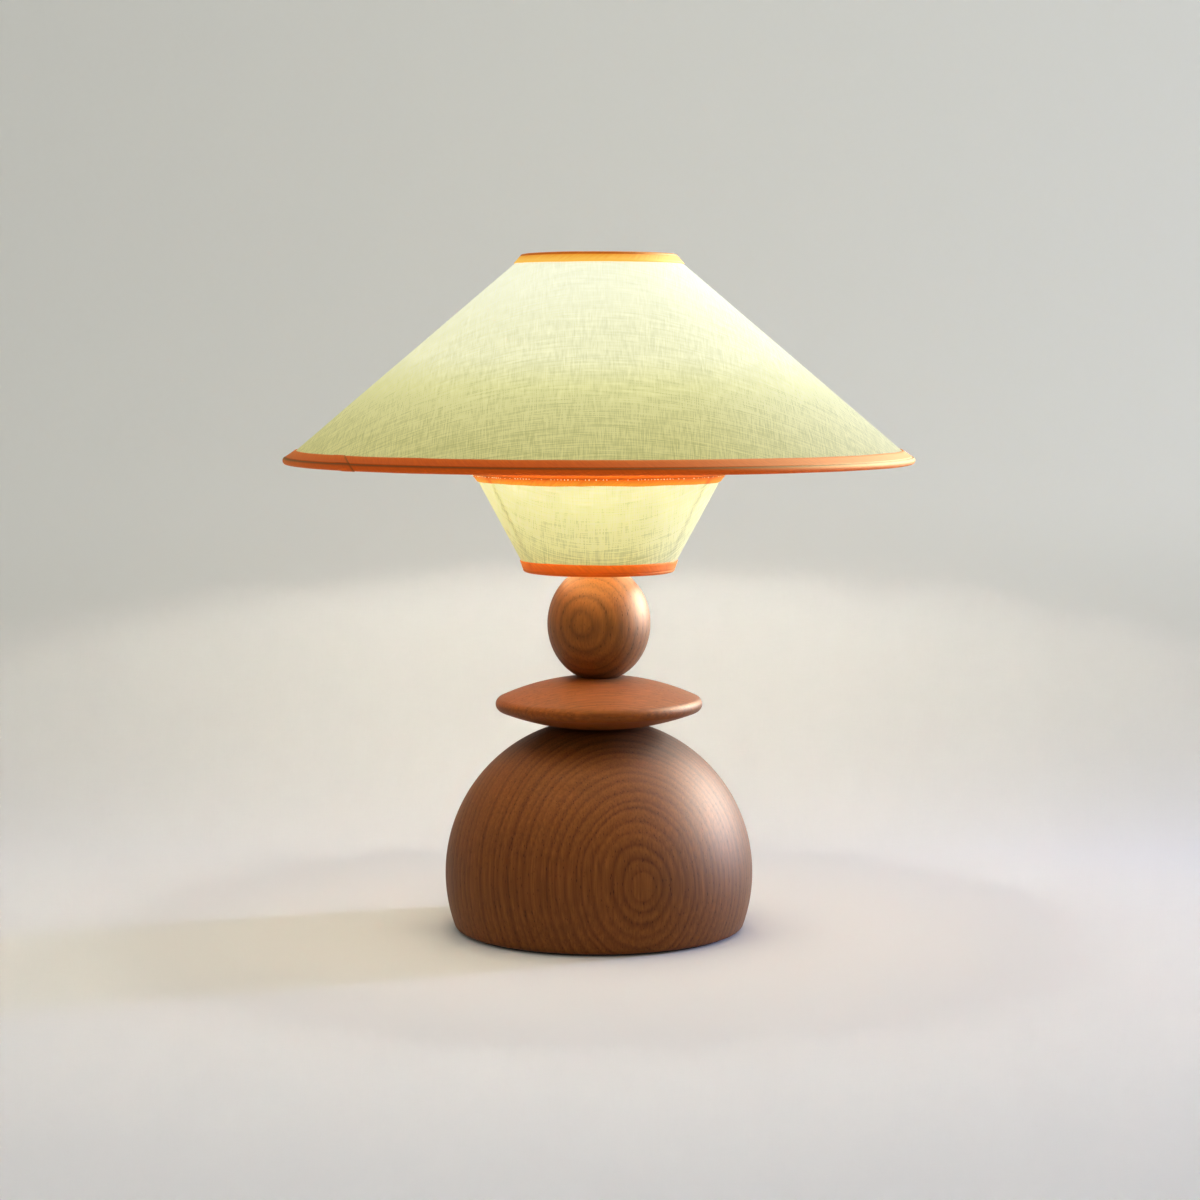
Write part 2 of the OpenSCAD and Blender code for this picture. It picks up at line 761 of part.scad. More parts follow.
module core_terminals() {
    mouth = 0.8 * (post_d / 2 - lead_d / 2 - lead_gap);
    color("#c9a24a")
        for (x = [-1, 1] * post_x)
            difference() {
                translate([x, 0, post_z]) cylinder(d = post_d, h = post_h);
                translate([x, 0, post_z - over])
                    cylinder(d = lead_d + 2 * lead_gap, h = post_h + over - touch);
                translate([x, 0, post_z - touch])
                    cylinder(r1 = lead_d / 2 + lead_gap + mouth, r2 = lead_d / 2 + lead_gap, h = mouth);
            }
}

module holder_skirt() {
    color("#2a2725")
        difference() {
            union() {
                translate([0, 0, cap_top_z]) cylinder(r = holder_r, h = skirt_h);
                translate([0, 0, flange_z]) cylinder(d = flange_d, h = flange_t);
            }
            translate([0, 0, cap_top_z - over]) cylinder(d = skirt_bore_d, h = skirt_h + 2 * over);
            translate([0, 0, cap_top_z - over])
                cylinder(r = core_hole_r, h = core_top_z + touch - cap_top_z + over);
        }
}

module screw_shell() {
    hole_r = (contact_d + tip_d) / 4 + 2 * contact_gap;
    color("#c9a24a")
        translate([0, 0, core_top_z])
            difference() {
                cylinder(d = shell_bore_d + 2 * shell_t, h = shell_h);
                translate([0, 0, shell_t]) cylinder(d = shell_bore_d, h = shell_h);
                translate([0, 0, -over]) cylinder(r = hole_r, h = shell_h);
            }
}

module contact_spring() {
    spring_r = contact_d / 2 - contact_gap;
    color("#b9b9b4") flat_ring(spring_r - spring_wall, spring_r, spring_z, contact_z - touch - spring_z);
}

module centre_contact() {
    color("#d0aa55") translate([0, 0, contact_z]) cylinder(d = contact_d, h = contact_l);
}

module grub_screw() {
    tip_x = stem_d / 2 + thread_gap;
    color("#b9b9b4")
        translate([-tip_x, 0, holder_z + neck_h / 2])
            rotate([0, -90, 0])
                cylinder(d = grub_d, h = neck_d / 2 - tip_x);
}

module shade_ring() {
    inner_r = holder_r + thread_gap;
    outer_r = ring_d / 2;
    top_z = ring_z + ring_h;
    color("#2a2725")
        difference() {
            rotate_extrude()
                polygon([
                    [inner_r, ring_z],
                    [outer_r - ring_chamfer, ring_z],
                    [outer_r, ring_z + ring_chamfer],
                    [outer_r, top_z - ring_chamfer],
                    [outer_r - ring_chamfer, top_z],
                    [inner_r, top_z]
                ]);
            around_axis(ring_grips)
                translate([outer_r + ring_grip_r / 2, 0, ring_z - over])
                    cylinder(r = ring_grip_r, h = ring_h + 2 * over, $fn = 32);
        }
}

module bulb_glass() {
    color("#fbf6e6")
        rotate_extrude()
            difference() {
                polygon(concat([[0, glass_z]], glass_outline(0)));
                polygon(concat(
                    [[0, glass_z - over], [glass_neck_r - glass_t, glass_z - over]],
                    glass_outline(glass_t)
                ));
            }
}

module bulb_cap() {
    color("#c6c6c0")
        translate([0, 0, bulb_cap_z])
            difference() {
                cylinder(d = bulb_cap_d, h = bulb_cap_l);
                translate([0, 0, bulb_cap_t]) cylinder(d = bulb_cap_d - 2 * bulb_cap_t, h = bulb_cap_l);
            }
}

module bulb_insulator() {
    color("#1d1b1a")
        translate([0, 0, insulator_z])
            cylinder(d1 = insulator_low_d, d2 = insulator_top_d, h = insulator_h);
}

module bulb_tip() {
    color("#b7b7b2") translate([0, 0, bulb_z]) cylinder(d = tip_d, h = tip_t);
}

module bulb_stem() {
    color("#e9efec")
        translate([0, 0, glass_z]) {
            cylinder(r = glass_neck_r - glass_t - glass_gap, h = stem_flare_t);
            cylinder(d = stem_post_d, h = stem_flare_t + stem_post_h);
        }
}

module filaments() {
    color("#f2d36b")
        around_axis(filaments_n)
            translate([filament_x, 0, filament_z]) cylinder(d = filament_d, h = filament_l);
}

module filament_wires() {
    spider_r = filament_wire_d / 2;
    color("#b9b9b4") {
        translate([0, 0, post_top_z]) cylinder(r = spider_r, h = filament_l + 2 * filament_wire_d);
        for (z = [filament_z - spider_r, filament_z + filament_l + spider_r])
            around_axis(filaments_n)
                translate([0, 0, z]) rotate([0, 90, 0]) cylinder(r = spider_r, h = filament_x);
    }
}

module fitter_plate() {
    color("#d9d6cc") flat_ring(holder_r + fitter_gap, fitter_d / 2, fitter_z, fitter_t);
}

module fitter_arms() {
    reach = strut_x_at_fitter - frame_wire_r + weld_sink;
    color("#d9d6cc")
        around_axis(frame_wires_n)
            wire([(ring_d + fitter_d) / 4, fitter_mid_z], [reach, fitter_mid_z], frame_wire_r);
}

module cup_bottom_wire() {
    color("#d9d6cc") edge_ring(cup_foot);
}

module cup_top_wire() {
    color("#d9d6cc") edge_ring(cup_head);
}

module cup_struts() {
    color("#d9d6cc") strut_wires();
}

module hat_spokes() {
    color("#d9d6cc") spoke_wires();
}

module hat_rim_wire() {
    color("#d9d6cc") edge_ring(hat_foot);
}

module hat_top_wire() {
    color("#d9d6cc") edge_ring(hat_head);
}

module cup_lining() {
    color("#f4f1e6") wall_layer(cup_foot, cup_head, glue_t / 2, liner_t);
}

module cup_cloth() {
    color("#ece3b4") wall_layer(cup_foot, cup_head, -glue_t / 2 - cloth_t, cloth_t);
}

module hat_lining() {
    color("#f4f1e6") wall_layer(hat_foot, hat_head, glue_t / 2, liner_t);
}

module hat_cloth() {
    color("#ece3b4") wall_layer(hat_foot, hat_head, -glue_t / 2 - cloth_t, cloth_t);
}

module cup_bottom_tape() {
    color("#d8681e")
        difference() {
            edge_tape(cup_foot, cup_head, cup_tape_w);
            strut_wires(tape_gap);
        }
}

module cup_top_tape() {
    color("#d8681e")
        difference() {
            edge_tape(cup_head, cup_foot, cup_tape_w);
            strut_wires(tape_gap);
            spoke_wires(tape_gap);
        }
}

module hat_rim_tape() {
    color("#d8681e")
        difference() {
            edge_tape(hat_foot, hat_head, rim_tape_w);
            spoke_wires(tape_gap);
        }
}

module hat_top_tape() {
    color("#d8681e") edge_tape(hat_head, hat_foot, top_tape_w);
}

base_dome();
lens_disc();
wooden_egg();
base_cover();
cover_screws();
felt_ring();
cord_gland();
stem_tube();
stem_nut();
lock_washer();
flat_washer();
seat_washer();
terminal_block();
clamp_screws();
block_screw();
live_lead();
neutral_lead();
holder_cap();
holder_core();
core_terminals();
holder_skirt();
screw_shell();
contact_spring();
grub_screw();
shade_ring();
centre_contact();
bulb_glass();
bulb_cap();
bulb_insulator();
bulb_tip();
bulb_stem();
filaments();
filament_wires();
fitter_plate();
fitter_arms();
cup_bottom_wire();
cup_top_wire();
cup_struts();
hat_spokes();
hat_rim_wire();
hat_top_wire();
cup_lining();
cup_cloth();
hat_lining();
hat_cloth();
cup_bottom_tape();
cup_top_tape();
hat_rim_tape();
hat_top_tape();
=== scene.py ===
"""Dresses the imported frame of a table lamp: turned ash stem, lit bulb and two-tier cloth shade.

Sizes in the classes are millimetres, as in the part's source. Meshes are in metres, in the same frame.
Angles around the stem are measured from the front, where the camera stands, towards the right.
"""
import json
import logging
import math
from collections.abc import Sequence
from dataclasses import dataclass, field
from enum import Enum
from functools import partial
from typing import Any

import bmesh
import bpy
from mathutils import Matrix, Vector, noise


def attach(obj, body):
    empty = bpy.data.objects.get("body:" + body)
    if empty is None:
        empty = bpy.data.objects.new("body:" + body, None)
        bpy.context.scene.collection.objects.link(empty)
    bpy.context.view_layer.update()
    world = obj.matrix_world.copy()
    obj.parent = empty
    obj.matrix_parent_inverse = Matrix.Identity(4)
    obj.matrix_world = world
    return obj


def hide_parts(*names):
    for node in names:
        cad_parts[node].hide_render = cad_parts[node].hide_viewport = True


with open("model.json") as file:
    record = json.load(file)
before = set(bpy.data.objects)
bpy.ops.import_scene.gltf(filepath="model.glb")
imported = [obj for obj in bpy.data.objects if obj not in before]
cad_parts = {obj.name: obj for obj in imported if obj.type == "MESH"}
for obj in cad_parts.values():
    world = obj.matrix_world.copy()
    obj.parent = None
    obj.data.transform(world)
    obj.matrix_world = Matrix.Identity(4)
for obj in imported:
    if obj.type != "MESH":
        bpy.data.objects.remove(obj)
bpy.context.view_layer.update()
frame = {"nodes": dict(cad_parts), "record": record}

MM = 0.001
TURN = 2 * math.pi
LOG = logging.getLogger("table_lamp")
Point2 = tuple[float, float]
Point3 = tuple[float, float, float]
Inputs = dict[str | int, Any]
# Places on a colour ramp with their linear colours
Ramp = tuple[tuple[float, Point3], ...]


class Body(Enum):
    """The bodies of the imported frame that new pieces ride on."""

    BASE = "base"
    SHADE = "shade"


class Edge(Enum):
    """The two wire rings of a shade wall."""

    FOOT = "foot"
    HEAD = "head"


def linear(code: str) -> tuple[float, float, float, float]:
    """Turns an sRGB hex colour into linear light with full alpha."""
    parts = [int(code[i : i + 2], 16) / 255 for i in (1, 3, 5)]
    return (*(c / 12.92 if c <= 0.04045 else ((c + 0.055) / 1.055) ** 2.4 for c in parts), 1.0)


def smooth_step(x: float) -> float:
    """Runs softly from 0 to 1 as x does."""
    x = min(max(x, 0.0), 1.0)
    return x * x * (3 - 2 * x)


def feed(node: bpy.types.Node, inputs: Inputs) -> None:
    """Sets a node's inputs.

    Args:
        node: The node.
        inputs: By an input's name or number, its value, the output that feeds it, or a node whose
            first output in use feeds it.
    """
    for key, given in inputs.items():
        is_node = isinstance(given, bpy.types.Node)
        value = next(output for output in given.outputs if output.enabled) if is_node else given
        if isinstance(value, bpy.types.NodeSocket):
            node.id_data.links.new(value, node.inputs[key])
        else:
            node.inputs[key].default_value = value


def add_node(
    tree: bpy.types.NodeTree, kind: str, inputs: Inputs | None = None, **settings: Any
) -> bpy.types.Node:
    """Adds a node with its settings and links.

    Args:
        tree: The tree that takes the node.
        kind: Blender's name of the node's type.
        inputs: What its inputs take, as in feed.
        settings: The node's own properties; stops holds a colour ramp's places and colours.

    Returns:
        The new node.
    """
    made = tree.nodes.new(kind)
    stops = settings.pop("stops", ())
    for key, value in settings.items():
        setattr(made, key, value)
    feed(made, inputs or {})
    if stops:
        ramp = made.color_ramp
        ramp.elements.remove(ramp.elements[1])
        ramp.elements[0].position = stops[0][0]
        for place, _ in stops[1:]:
            ramp.elements.new(place)
        for element, (_, colour) in zip(ramp.elements, stops):
            element.color = (*colour, 1.0)
    return made


@dataclass(frozen=True)
class Finish:
    """A named material, made on first use."""

    name: str

    def material(self) -> bpy.types.Material:
        """Returns the finish's material."""
        made = bpy.data.materials.get(self.name)
        if made is None:
            made = bpy.data.materials.new(self.name)
            made.use_nodes = True
            self.paint(made.node_tree, made.node_tree.nodes["Principled BSDF"])
        return made

    def paint(self, tree: bpy.types.NodeTree, shader: bpy.types.Node) -> None:
        """Feeds the shader.

        Args:
            tree: The material's nodes.
            shader: Its Principled shader.
        """
        raise NotImplementedError


@dataclass(frozen=True)
class StainedAsh(Finish):
    """Ash, turned, stained brown and lacquered satin.

    The eye sees growth rings cut by the round form, dark porous early wood that fades into plain
    late wood, short pore dashes that run with the trunk, and the lacquer's faintly golden shine.
    """

    pith: Point3 = (0.0, 0.0, 0.0)
    trunk: Point3 = (0.0, 0.0, 1.0)
    nearest: float = 0.0
    late: str = "#79451c"
    early: str = "#4e280d"
    pore: str = "#241006"
    rings_share: float = 1.05
    rings_power: float = 0.685
    # Places in a year and how far the wood is early wood there
    seasons: tuple[Point2, ...] = (
        (0.0, 0.75), (0.08, 1.0), (0.3, 0.55), (0.55, 0.15), (0.78, 0.0), (1.0, 0.75),
    )
    year_start: float = 0.08
    years_scale: float = 0.11
    years_swing: float = 1.6
    wander: float = 7.0
    wander_length: float = 70.0
    contrast: float = 0.66
    faintest: float = 0.55
    fibre_width: float = 0.9
    fibre_squash: float = 0.03
    fibre_span: Point2 = (0.25, 0.75)
    fibre_tone: Point2 = (0.66, 1.22)
    fibre_relief: float = 0.35
    pore_spacing: float = 1.3
    pore_squash: float = 0.24
    pore_reach: Point2 = (0.14, 0.48)
    pore_core: float = 0.06
    pore_tone: float = 0.75
    relief: float = 0.15
    relief_strength: float = 0.35
    gloss: float = 0.155
    gloss_tint: str = "#fff2e2"
    smoothest: float = 0.57
    dullest: float = 0.76

    def paint(self, tree: bpy.types.NodeTree, shader: bpy.types.Node) -> None:
        """Counts growth rings outwards from the pith and draws early wood, fibres and pores."""
        add = partial(add_node, tree)
        spot = add("ShaderNodeTexCoord").outputs["Object"]
        drift = add(
            "ShaderNodeTexNoise",
            {"Vector": spot, "Scale": 1 / (self.wander_length * MM), "Detail": 2.0},
        ).outputs["Color"]
        centred = add("ShaderNodeVectorMath", {0: drift, 1: (0.5,) * 3}, operation="SUBTRACT")
        drifted = add(
            "ShaderNodeVectorMath", {0: centred, 1: (self.wander * MM,) * 3, 2: spot},
            operation="MULTIPLY_ADD",
        )
        trunk = Vector(self.trunk).normalized()
        pith = tuple(c * MM for c in self.pith)
        from_pith = add("ShaderNodeVectorMath", {0: drifted, 1: pith}, operation="SUBTRACT")
        along = add("ShaderNodeVectorMath", {0: from_pith, 1: trunk}, operation="DOT_PRODUCT")
        axial = add("ShaderNodeVectorMath", {0: trunk, "Scale": along}, operation="SCALE")
        across = add("ShaderNodeVectorMath", {0: from_pith, 1: axial}, operation="SUBTRACT")
        radius = add("ShaderNodeVectorMath", {0: across}, operation="LENGTH")
        depth = add("ShaderNodeMath", {0: radius, 1: 1 / MM, 2: -self.nearest}, operation="MULTIPLY_ADD")
        wood = add("ShaderNodeMath", {0: depth, 1: 0.0}, operation="MAXIMUM")
        grown = add("ShaderNodeMath", {0: wood, 1: self.rings_power}, operation="POWER")
        even = add("ShaderNodeMath", {0: grown, 1: self.rings_share}, operation="MULTIPLY")
        years = add(
            "ShaderNodeTexNoise", {"W": depth, "Scale": self.years_scale, "Detail": 1.0},
            noise_dimensions="1D",
        )
        rings = add("ShaderNodeMath", {0: years, 1: self.years_swing, 2: even}, operation="MULTIPLY_ADD")
        season = add("ShaderNodeMath", {0: rings}, operation="FRACT")
        darkening = add(
            "ShaderNodeValToRGB", {0: season},
            stops=[(place, (dark,) * 3) for place, dark in self.seasons],
        )
        year = add("ShaderNodeMath", {0: rings, 1: -self.year_start}, operation="ADD")
        counted = add("ShaderNodeMath", {0: year}, operation="ROUND")
        luck = add("ShaderNodeTexWhiteNoise", {"W": counted}, noise_dimensions="1D")
        weight = add(
            "ShaderNodeMapRange",
            {"Value": luck, "To Min": self.faintest * self.contrast, "To Max": self.contrast},
        )
        early = add("ShaderNodeMath", {0: darkening, 1: weight}, operation="MULTIPLY")

        fibre_run = add(
            "ShaderNodeVectorMath", {0: axial, 1: (self.fibre_squash,) * 3, 2: across},
            operation="MULTIPLY_ADD",
        )
        fibre = add(
            "ShaderNodeTexNoise",
            {"Vector": fibre_run, "Scale": 1 / (self.fibre_width * MM), "Detail": 3.0},
        )
        pore_run = add(
            "ShaderNodeVectorMath", {0: axial, 1: (self.pore_squash,) * 3, 2: across},
            operation="MULTIPLY_ADD",
        )
        cell = add(
            "ShaderNodeTexVoronoi", {"Vector": pore_run, "Scale": 1 / (self.pore_spacing * MM)},
            feature="F1",
        )
        reach = add(
            "ShaderNodeMapRange",
            {"Value": early, "To Min": self.pore_reach[0], "To Max": self.pore_reach[1]},
        )
        pores = add(
            "ShaderNodeMapRange",
            {"Value": cell, "From Min": reach, "From Max": self.pore_core, "To Max": 1.0},
            interpolation_type="SMOOTHSTEP",
        )

        ring_colour = add(
            "ShaderNodeMix", {"Factor": early, 6: linear(self.late), 7: linear(self.early)},
            data_type="RGBA",
        )
        streak = add(
            "ShaderNodeMapRange",
            {"Value": fibre, "From Min": self.fibre_span[0], "From Max": self.fibre_span[1],
             "To Min": self.fibre_tone[0], "To Max": self.fibre_tone[1]},
        )
        fibred = add(
            "ShaderNodeMix", {"Factor": 1.0, 6: ring_colour, 7: streak},
            data_type="RGBA", blend_type="MULTIPLY",
        )
        shown = add("ShaderNodeMath", {0: pores, 1: self.pore_tone}, operation="MULTIPLY")
        stained = add(
            "ShaderNodeMix", {"Factor": shown, 6: fibred, 7: linear(self.pore)}, data_type="RGBA"
        )
        dull = add(
            "ShaderNodeMapRange",
            {"Value": pores, "To Min": self.smoothest, "To Max": self.dullest},
        )
        raised = add("ShaderNodeMath", {0: fibre, 1: self.fibre_relief}, operation="MULTIPLY")
        sunk = add("ShaderNodeMath", {0: raised, 1: pores}, operation="SUBTRACT")
        bump = add(
            "ShaderNodeBump",
            {"Height": sunk, "Strength": self.relief_strength, "Distance": self.relief * MM},
        )
        feed(shader, {
            "Base Color": stained, "Roughness": dull, "Normal": bump,
            "Specular IOR Level": self.gloss, "Specular Tint": linear(self.gloss_tint),
        })


@dataclass(frozen=True)
class ShadeCloth(Finish):
    """Slubby cotton, plain woven, glued to a film and lit from behind.

    The eye sees a faint cross-hatch of uneven threads, a painted glow that is brighter where the bulb is
    near, and a pale greenish cream where daylight falls on it. Real threads are 0.5 mm apart, under a
    pixel of the render, so the drawn ones are coarser.
    """

    pale: str = "#e6ecb9"
    deep: str = "#c3cd98"
    # Width and height of a thread's even stretch, and the set's share of the weave
    warp: Point3 = (0.48, 9.0, 0.48)
    weft: Point3 = (17.0, 0.5, 0.52)
    # Turns the noise in thread units, so that no two threads thin out at the same place
    unlike: Point3 = (0.45, 0.7, 0.6)
    # Painted light behind the cloth at the ramp's end
    brightest: float = 3.0
    # Where more light blurs the threads, and how clear they are at both ends
    blurred: Point2 = (0.2, 0.5)
    clearness: Point2 = (4.8, 2.2)
    thread_tone: Point2 = (0.82, 1.14)
    # Colours of the painted glow, emission that stands for the bulb's light coming through
    through: Ramp = (
        (0.0, (0.05, 0.03, 0.0)), (0.084, (0.2, 0.14, 0.003)), (0.16, (0.41, 0.36, 0.145)),
        (0.235, (0.53, 0.49, 0.33)), (0.63, (0.64, 0.62, 0.53)), (1.0, (0.67, 0.65, 0.59)),
    )
    relief: float = 0.2
    relief_strength: float = 0.4

    def paint(self, tree: bpy.types.NodeTree, shader: bpy.types.Node) -> None:
        """Weaves two sets of threads on the flat cut and paints the bulb's light through them as emission.
        """
        add = partial(add_node, tree)
        cut = add("ShaderNodeUVMap", uv_map="cut")
        sets = []
        for width, height, share in (self.warp, self.weft):
            scale = (1 / (width * MM), 1 / (height * MM), 1.0)
            laid = add("ShaderNodeMapping", {"Vector": cut, "Scale": scale, "Rotation": self.unlike})
            spun = add("ShaderNodeTexNoise", {"Vector": laid, "Scale": 1.0, "Detail": 1.0})
            sets.append(add("ShaderNodeMath", {0: spun, 1: share}, operation="MULTIPLY"))
        weave = add("ShaderNodeMath", {0: sets[0], 1: sets[1]}, operation="ADD")
        # The glow attribute holds painted light of the bulb, worked out point by point on the mesh
        behind = add("ShaderNodeAttribute", attribute_name="glow").outputs["Fac"]
        lit = add("ShaderNodeMath", {0: behind, 1: 1 / self.brightest}, operation="MULTIPLY")
        clear = add(
            "ShaderNodeMapRange",
            {"Value": lit, "From Min": self.blurred[0], "From Max": self.blurred[1],
             "To Min": self.clearness[0], "To Max": self.clearness[1]},
        )
        uneven = add("ShaderNodeMath", {0: weave, 1: -0.5}, operation="ADD")
        tone = add("ShaderNodeMath", {0: uneven, 1: clear, 2: 0.5}, operation="MULTIPLY_ADD")
        thin = add(
            "ShaderNodeMapRange",
            {"Value": tone, "To Min": self.thread_tone[0], "To Max": self.thread_tone[1]},
        )
        light = add("ShaderNodeValToRGB", {0: lit}, stops=self.through)
        woven = add(
            "ShaderNodeMix", {"Factor": 1.0, 6: light, 7: thin},
            data_type="RGBA", blend_type="MULTIPLY",
        )
        colour = add(
            "ShaderNodeMix", {"Factor": tone, 6: linear(self.deep), 7: linear(self.pale)},
            data_type="RGBA",
        )
        bump = add(
            "ShaderNodeBump",
            {"Height": weave, "Strength": self.relief_strength, "Distance": self.relief * MM},
        )
        feed(shader, {
            "Base Color": colour, "Normal": bump, "Roughness": 0.85, "Specular IOR Level": 0.05,
            "Sheen Weight": 0.1, "Emission Color": woven, "Emission Strength": 1.0,
        })


@dataclass(frozen=True)
class EdgeTape(Finish):
    """Orange cotton bias tape, folded over a wire and pressed.

    The eye sees a fine diagonal twill, painted shade in the creases and on the lapped end, and a painted
    deep orange glow where the bulb's light comes through. The twill is drawn at twice its real 0.5 mm, so
    that it shows.
    """

    pale: str = "#ea540b"
    deep: str = "#cf3f07"
    crease_shade_colour: str = "#5a2208"
    gloss: str = "#f6ec6a"
    twill: float = 1.0
    twill_length: float = 9.0
    twill_degrees: float = 45.0
    rib_span: Point2 = (0.2, 0.8)
    rib_tone: Point2 = (0.8, 1.2)
    through: Ramp = (
        (0.0, (0.0, 0.0, 0.0)), (0.1, (0.08, 0.012, 0.001)), (0.35, (0.34, 0.1, 0.01)),
        (0.6, (0.48, 0.28, 0.024)), (1.0, (0.6, 0.47, 0.08)),
    )
    relief: float = 0.15
    relief_strength: float = 0.35

    def paint(self, tree: bpy.types.NodeTree, shader: bpy.types.Node) -> None:
        """Draws the twill along the tape and the light that comes through it."""
        add = partial(add_node, tree)
        strip = add("ShaderNodeUVMap", uv_map="strip")
        aslant = (0, 0, math.radians(self.twill_degrees))
        slanted = add("ShaderNodeMapping", {"Vector": strip, "Rotation": aslant})
        scale = (1 / (self.twill * MM), 1 / (self.twill_length * MM), 1.0)
        laid = add("ShaderNodeMapping", {"Vector": slanted, "Scale": scale})
        ribs = add("ShaderNodeTexNoise", {"Vector": laid, "Scale": 1.0, "Detail": 2.0})
        colour = add(
            "ShaderNodeMix", {"Factor": ribs, 6: linear(self.deep), 7: linear(self.pale)},
            data_type="RGBA",
        )
        # Painted shade: a dark brown mixed in at the creases and on the lapped end
        fold = add("ShaderNodeAttribute", attribute_name="fold").outputs["Fac"]
        folded = add(
            "ShaderNodeMix", {"Factor": fold, 6: colour, 7: linear(self.crease_shade_colour)}, data_type="RGBA"
        )
        # Painted light of the bulb, carried by the glow attribute and shown as emission
        behind = add("ShaderNodeAttribute", attribute_name="glow").outputs["Fac"]
        thin = add(
            "ShaderNodeMapRange",
            {"Value": ribs, "From Min": self.rib_span[0], "From Max": self.rib_span[1],
             "To Min": self.rib_tone[0], "To Max": self.rib_tone[1]},
        )
        lit = add("ShaderNodeMath", {0: behind, 1: thin}, operation="MULTIPLY")
        light = add("ShaderNodeValToRGB", {0: lit}, stops=self.through)
        bump = add(
            "ShaderNodeBump",
            {"Height": ribs, "Strength": self.relief_strength, "Distance": self.relief * MM},
        )
        feed(shader, {
            "Base Color": folded, "Normal": bump, "Roughness": 0.74, "Specular IOR Level": 0.9,
            "Specular Tint": linear(self.gloss), "Sheen Weight": 0.2, "Sheen Roughness": 0.4,
            "Sheen Tint": linear(self.gloss), "Emission Color": light, "Emission Strength": 1.0,
        })


@dataclass(frozen=True)
class SolidFinish(Finish):
    """A finish whose colour, gloss and relief vary with one grain: metals, mouldings, felt, film."""

    colour: str = "#808080"
    shade: str = "#707070"
    roughness: float = 0.5
    spread: float = 0.1
    grain: float = 1.0
    relief: float = 0.02
    metallic: float = 0.0
    stretch: Point3 = (1.0, 1.0, 1.0)
    light: str = ""
    strength: float = 0.0
    clear: float = 0.0
    relief_strength: float = 0.4

    def paint(self, tree: bpy.types.NodeTree, shader: bpy.types.Node) -> None:
        """Spreads the grain over colour, roughness and relief."""
        add = partial(add_node, tree)
        spot = add("ShaderNodeTexCoord").outputs["Object"]
        laid = add("ShaderNodeMapping", {"Vector": spot, "Scale": self.stretch})
        grain = add("ShaderNodeTexNoise", {"Vector": laid, "Scale": 1 / (self.grain * MM), "Detail": 4.0})
        colour = add(
            "ShaderNodeMix", {"Factor": grain, 6: linear(self.shade), 7: linear(self.colour)},
            data_type="RGBA",
        )
        low, high = self.roughness - self.spread / 2, self.roughness + self.spread / 2
        gloss = add("ShaderNodeMapRange", {"Value": grain, "To Min": high, "To Max": low})
        bump = add(
            "ShaderNodeBump",
            {"Height": grain, "Strength": self.relief_strength, "Distance": self.relief * MM},
        )
        feed(shader, {
            "Base Color": colour, "Roughness": gloss, "Normal": bump, "Metallic": self.metallic,
            "Transmission Weight": self.clear,
        })
        if self.light:
            feed(shader, {"Emission Color": linear(self.light), "Emission Strength": self.strength})


@dataclass(frozen=True)
class LitGlass(Finish):
    """Opal-coated bulb glass alight: the eye sees it brightest level with the filaments."""

    glass: str = "#fff8ec"
    light: str = "#fff8ee"
    middle: float = 313.16
    reach: float = 9.0
    fade: float = 1.4
    edge_strength: float = 12.0
    middle_strength: float = 315.0

    def paint(self, tree: bpy.types.NodeTree, shader: bpy.types.Node) -> None:
        """Lets the light fall off above and below the middle."""
        add = partial(add_node, tree)
        spot = add("ShaderNodeTexCoord").outputs["Object"]
        height = add("ShaderNodeSeparateXYZ", {0: spot}).outputs["Z"]
        away = add(
            "ShaderNodeMath", {0: height, 1: 1 / (self.reach * MM), 2: -self.middle / self.reach},
            operation="MULTIPLY_ADD",
        )
        far = add("ShaderNodeMath", {0: away}, operation="ABSOLUTE")
        strength = add(
            "ShaderNodeMapRange",
            {"Value": far, "From Max": self.fade, "To Min": self.middle_strength,
             "To Max": self.edge_strength},
            interpolation_type="SMOOTHSTEP",
        )
        feed(shader, {
            "Base Color": linear(self.glass), "Roughness": 0.25, "Emission Color": linear(self.light),
            "Emission Strength": strength,
        })


# Cotton and polyester as sewn and folded
CLOTH = ShadeCloth("slub_cotton_on_film")
TAPE = EdgeTape("orange_bias_tape")
THREAD = SolidFinish("orange_sewing_thread", "#d56a26", "#a84a16", 0.7, 0.2, 0.3, 0.05)
# Painted light of the bulb at a needle hole: a glowing bead seen as a warm white spark
SPARK = SolidFinish(
    "needle_hole_light", "#fff0c8", "#ffe2a0", 0.6, 0.1, 0.3, 0.0, light="#ffe3a0", strength=1.0
)
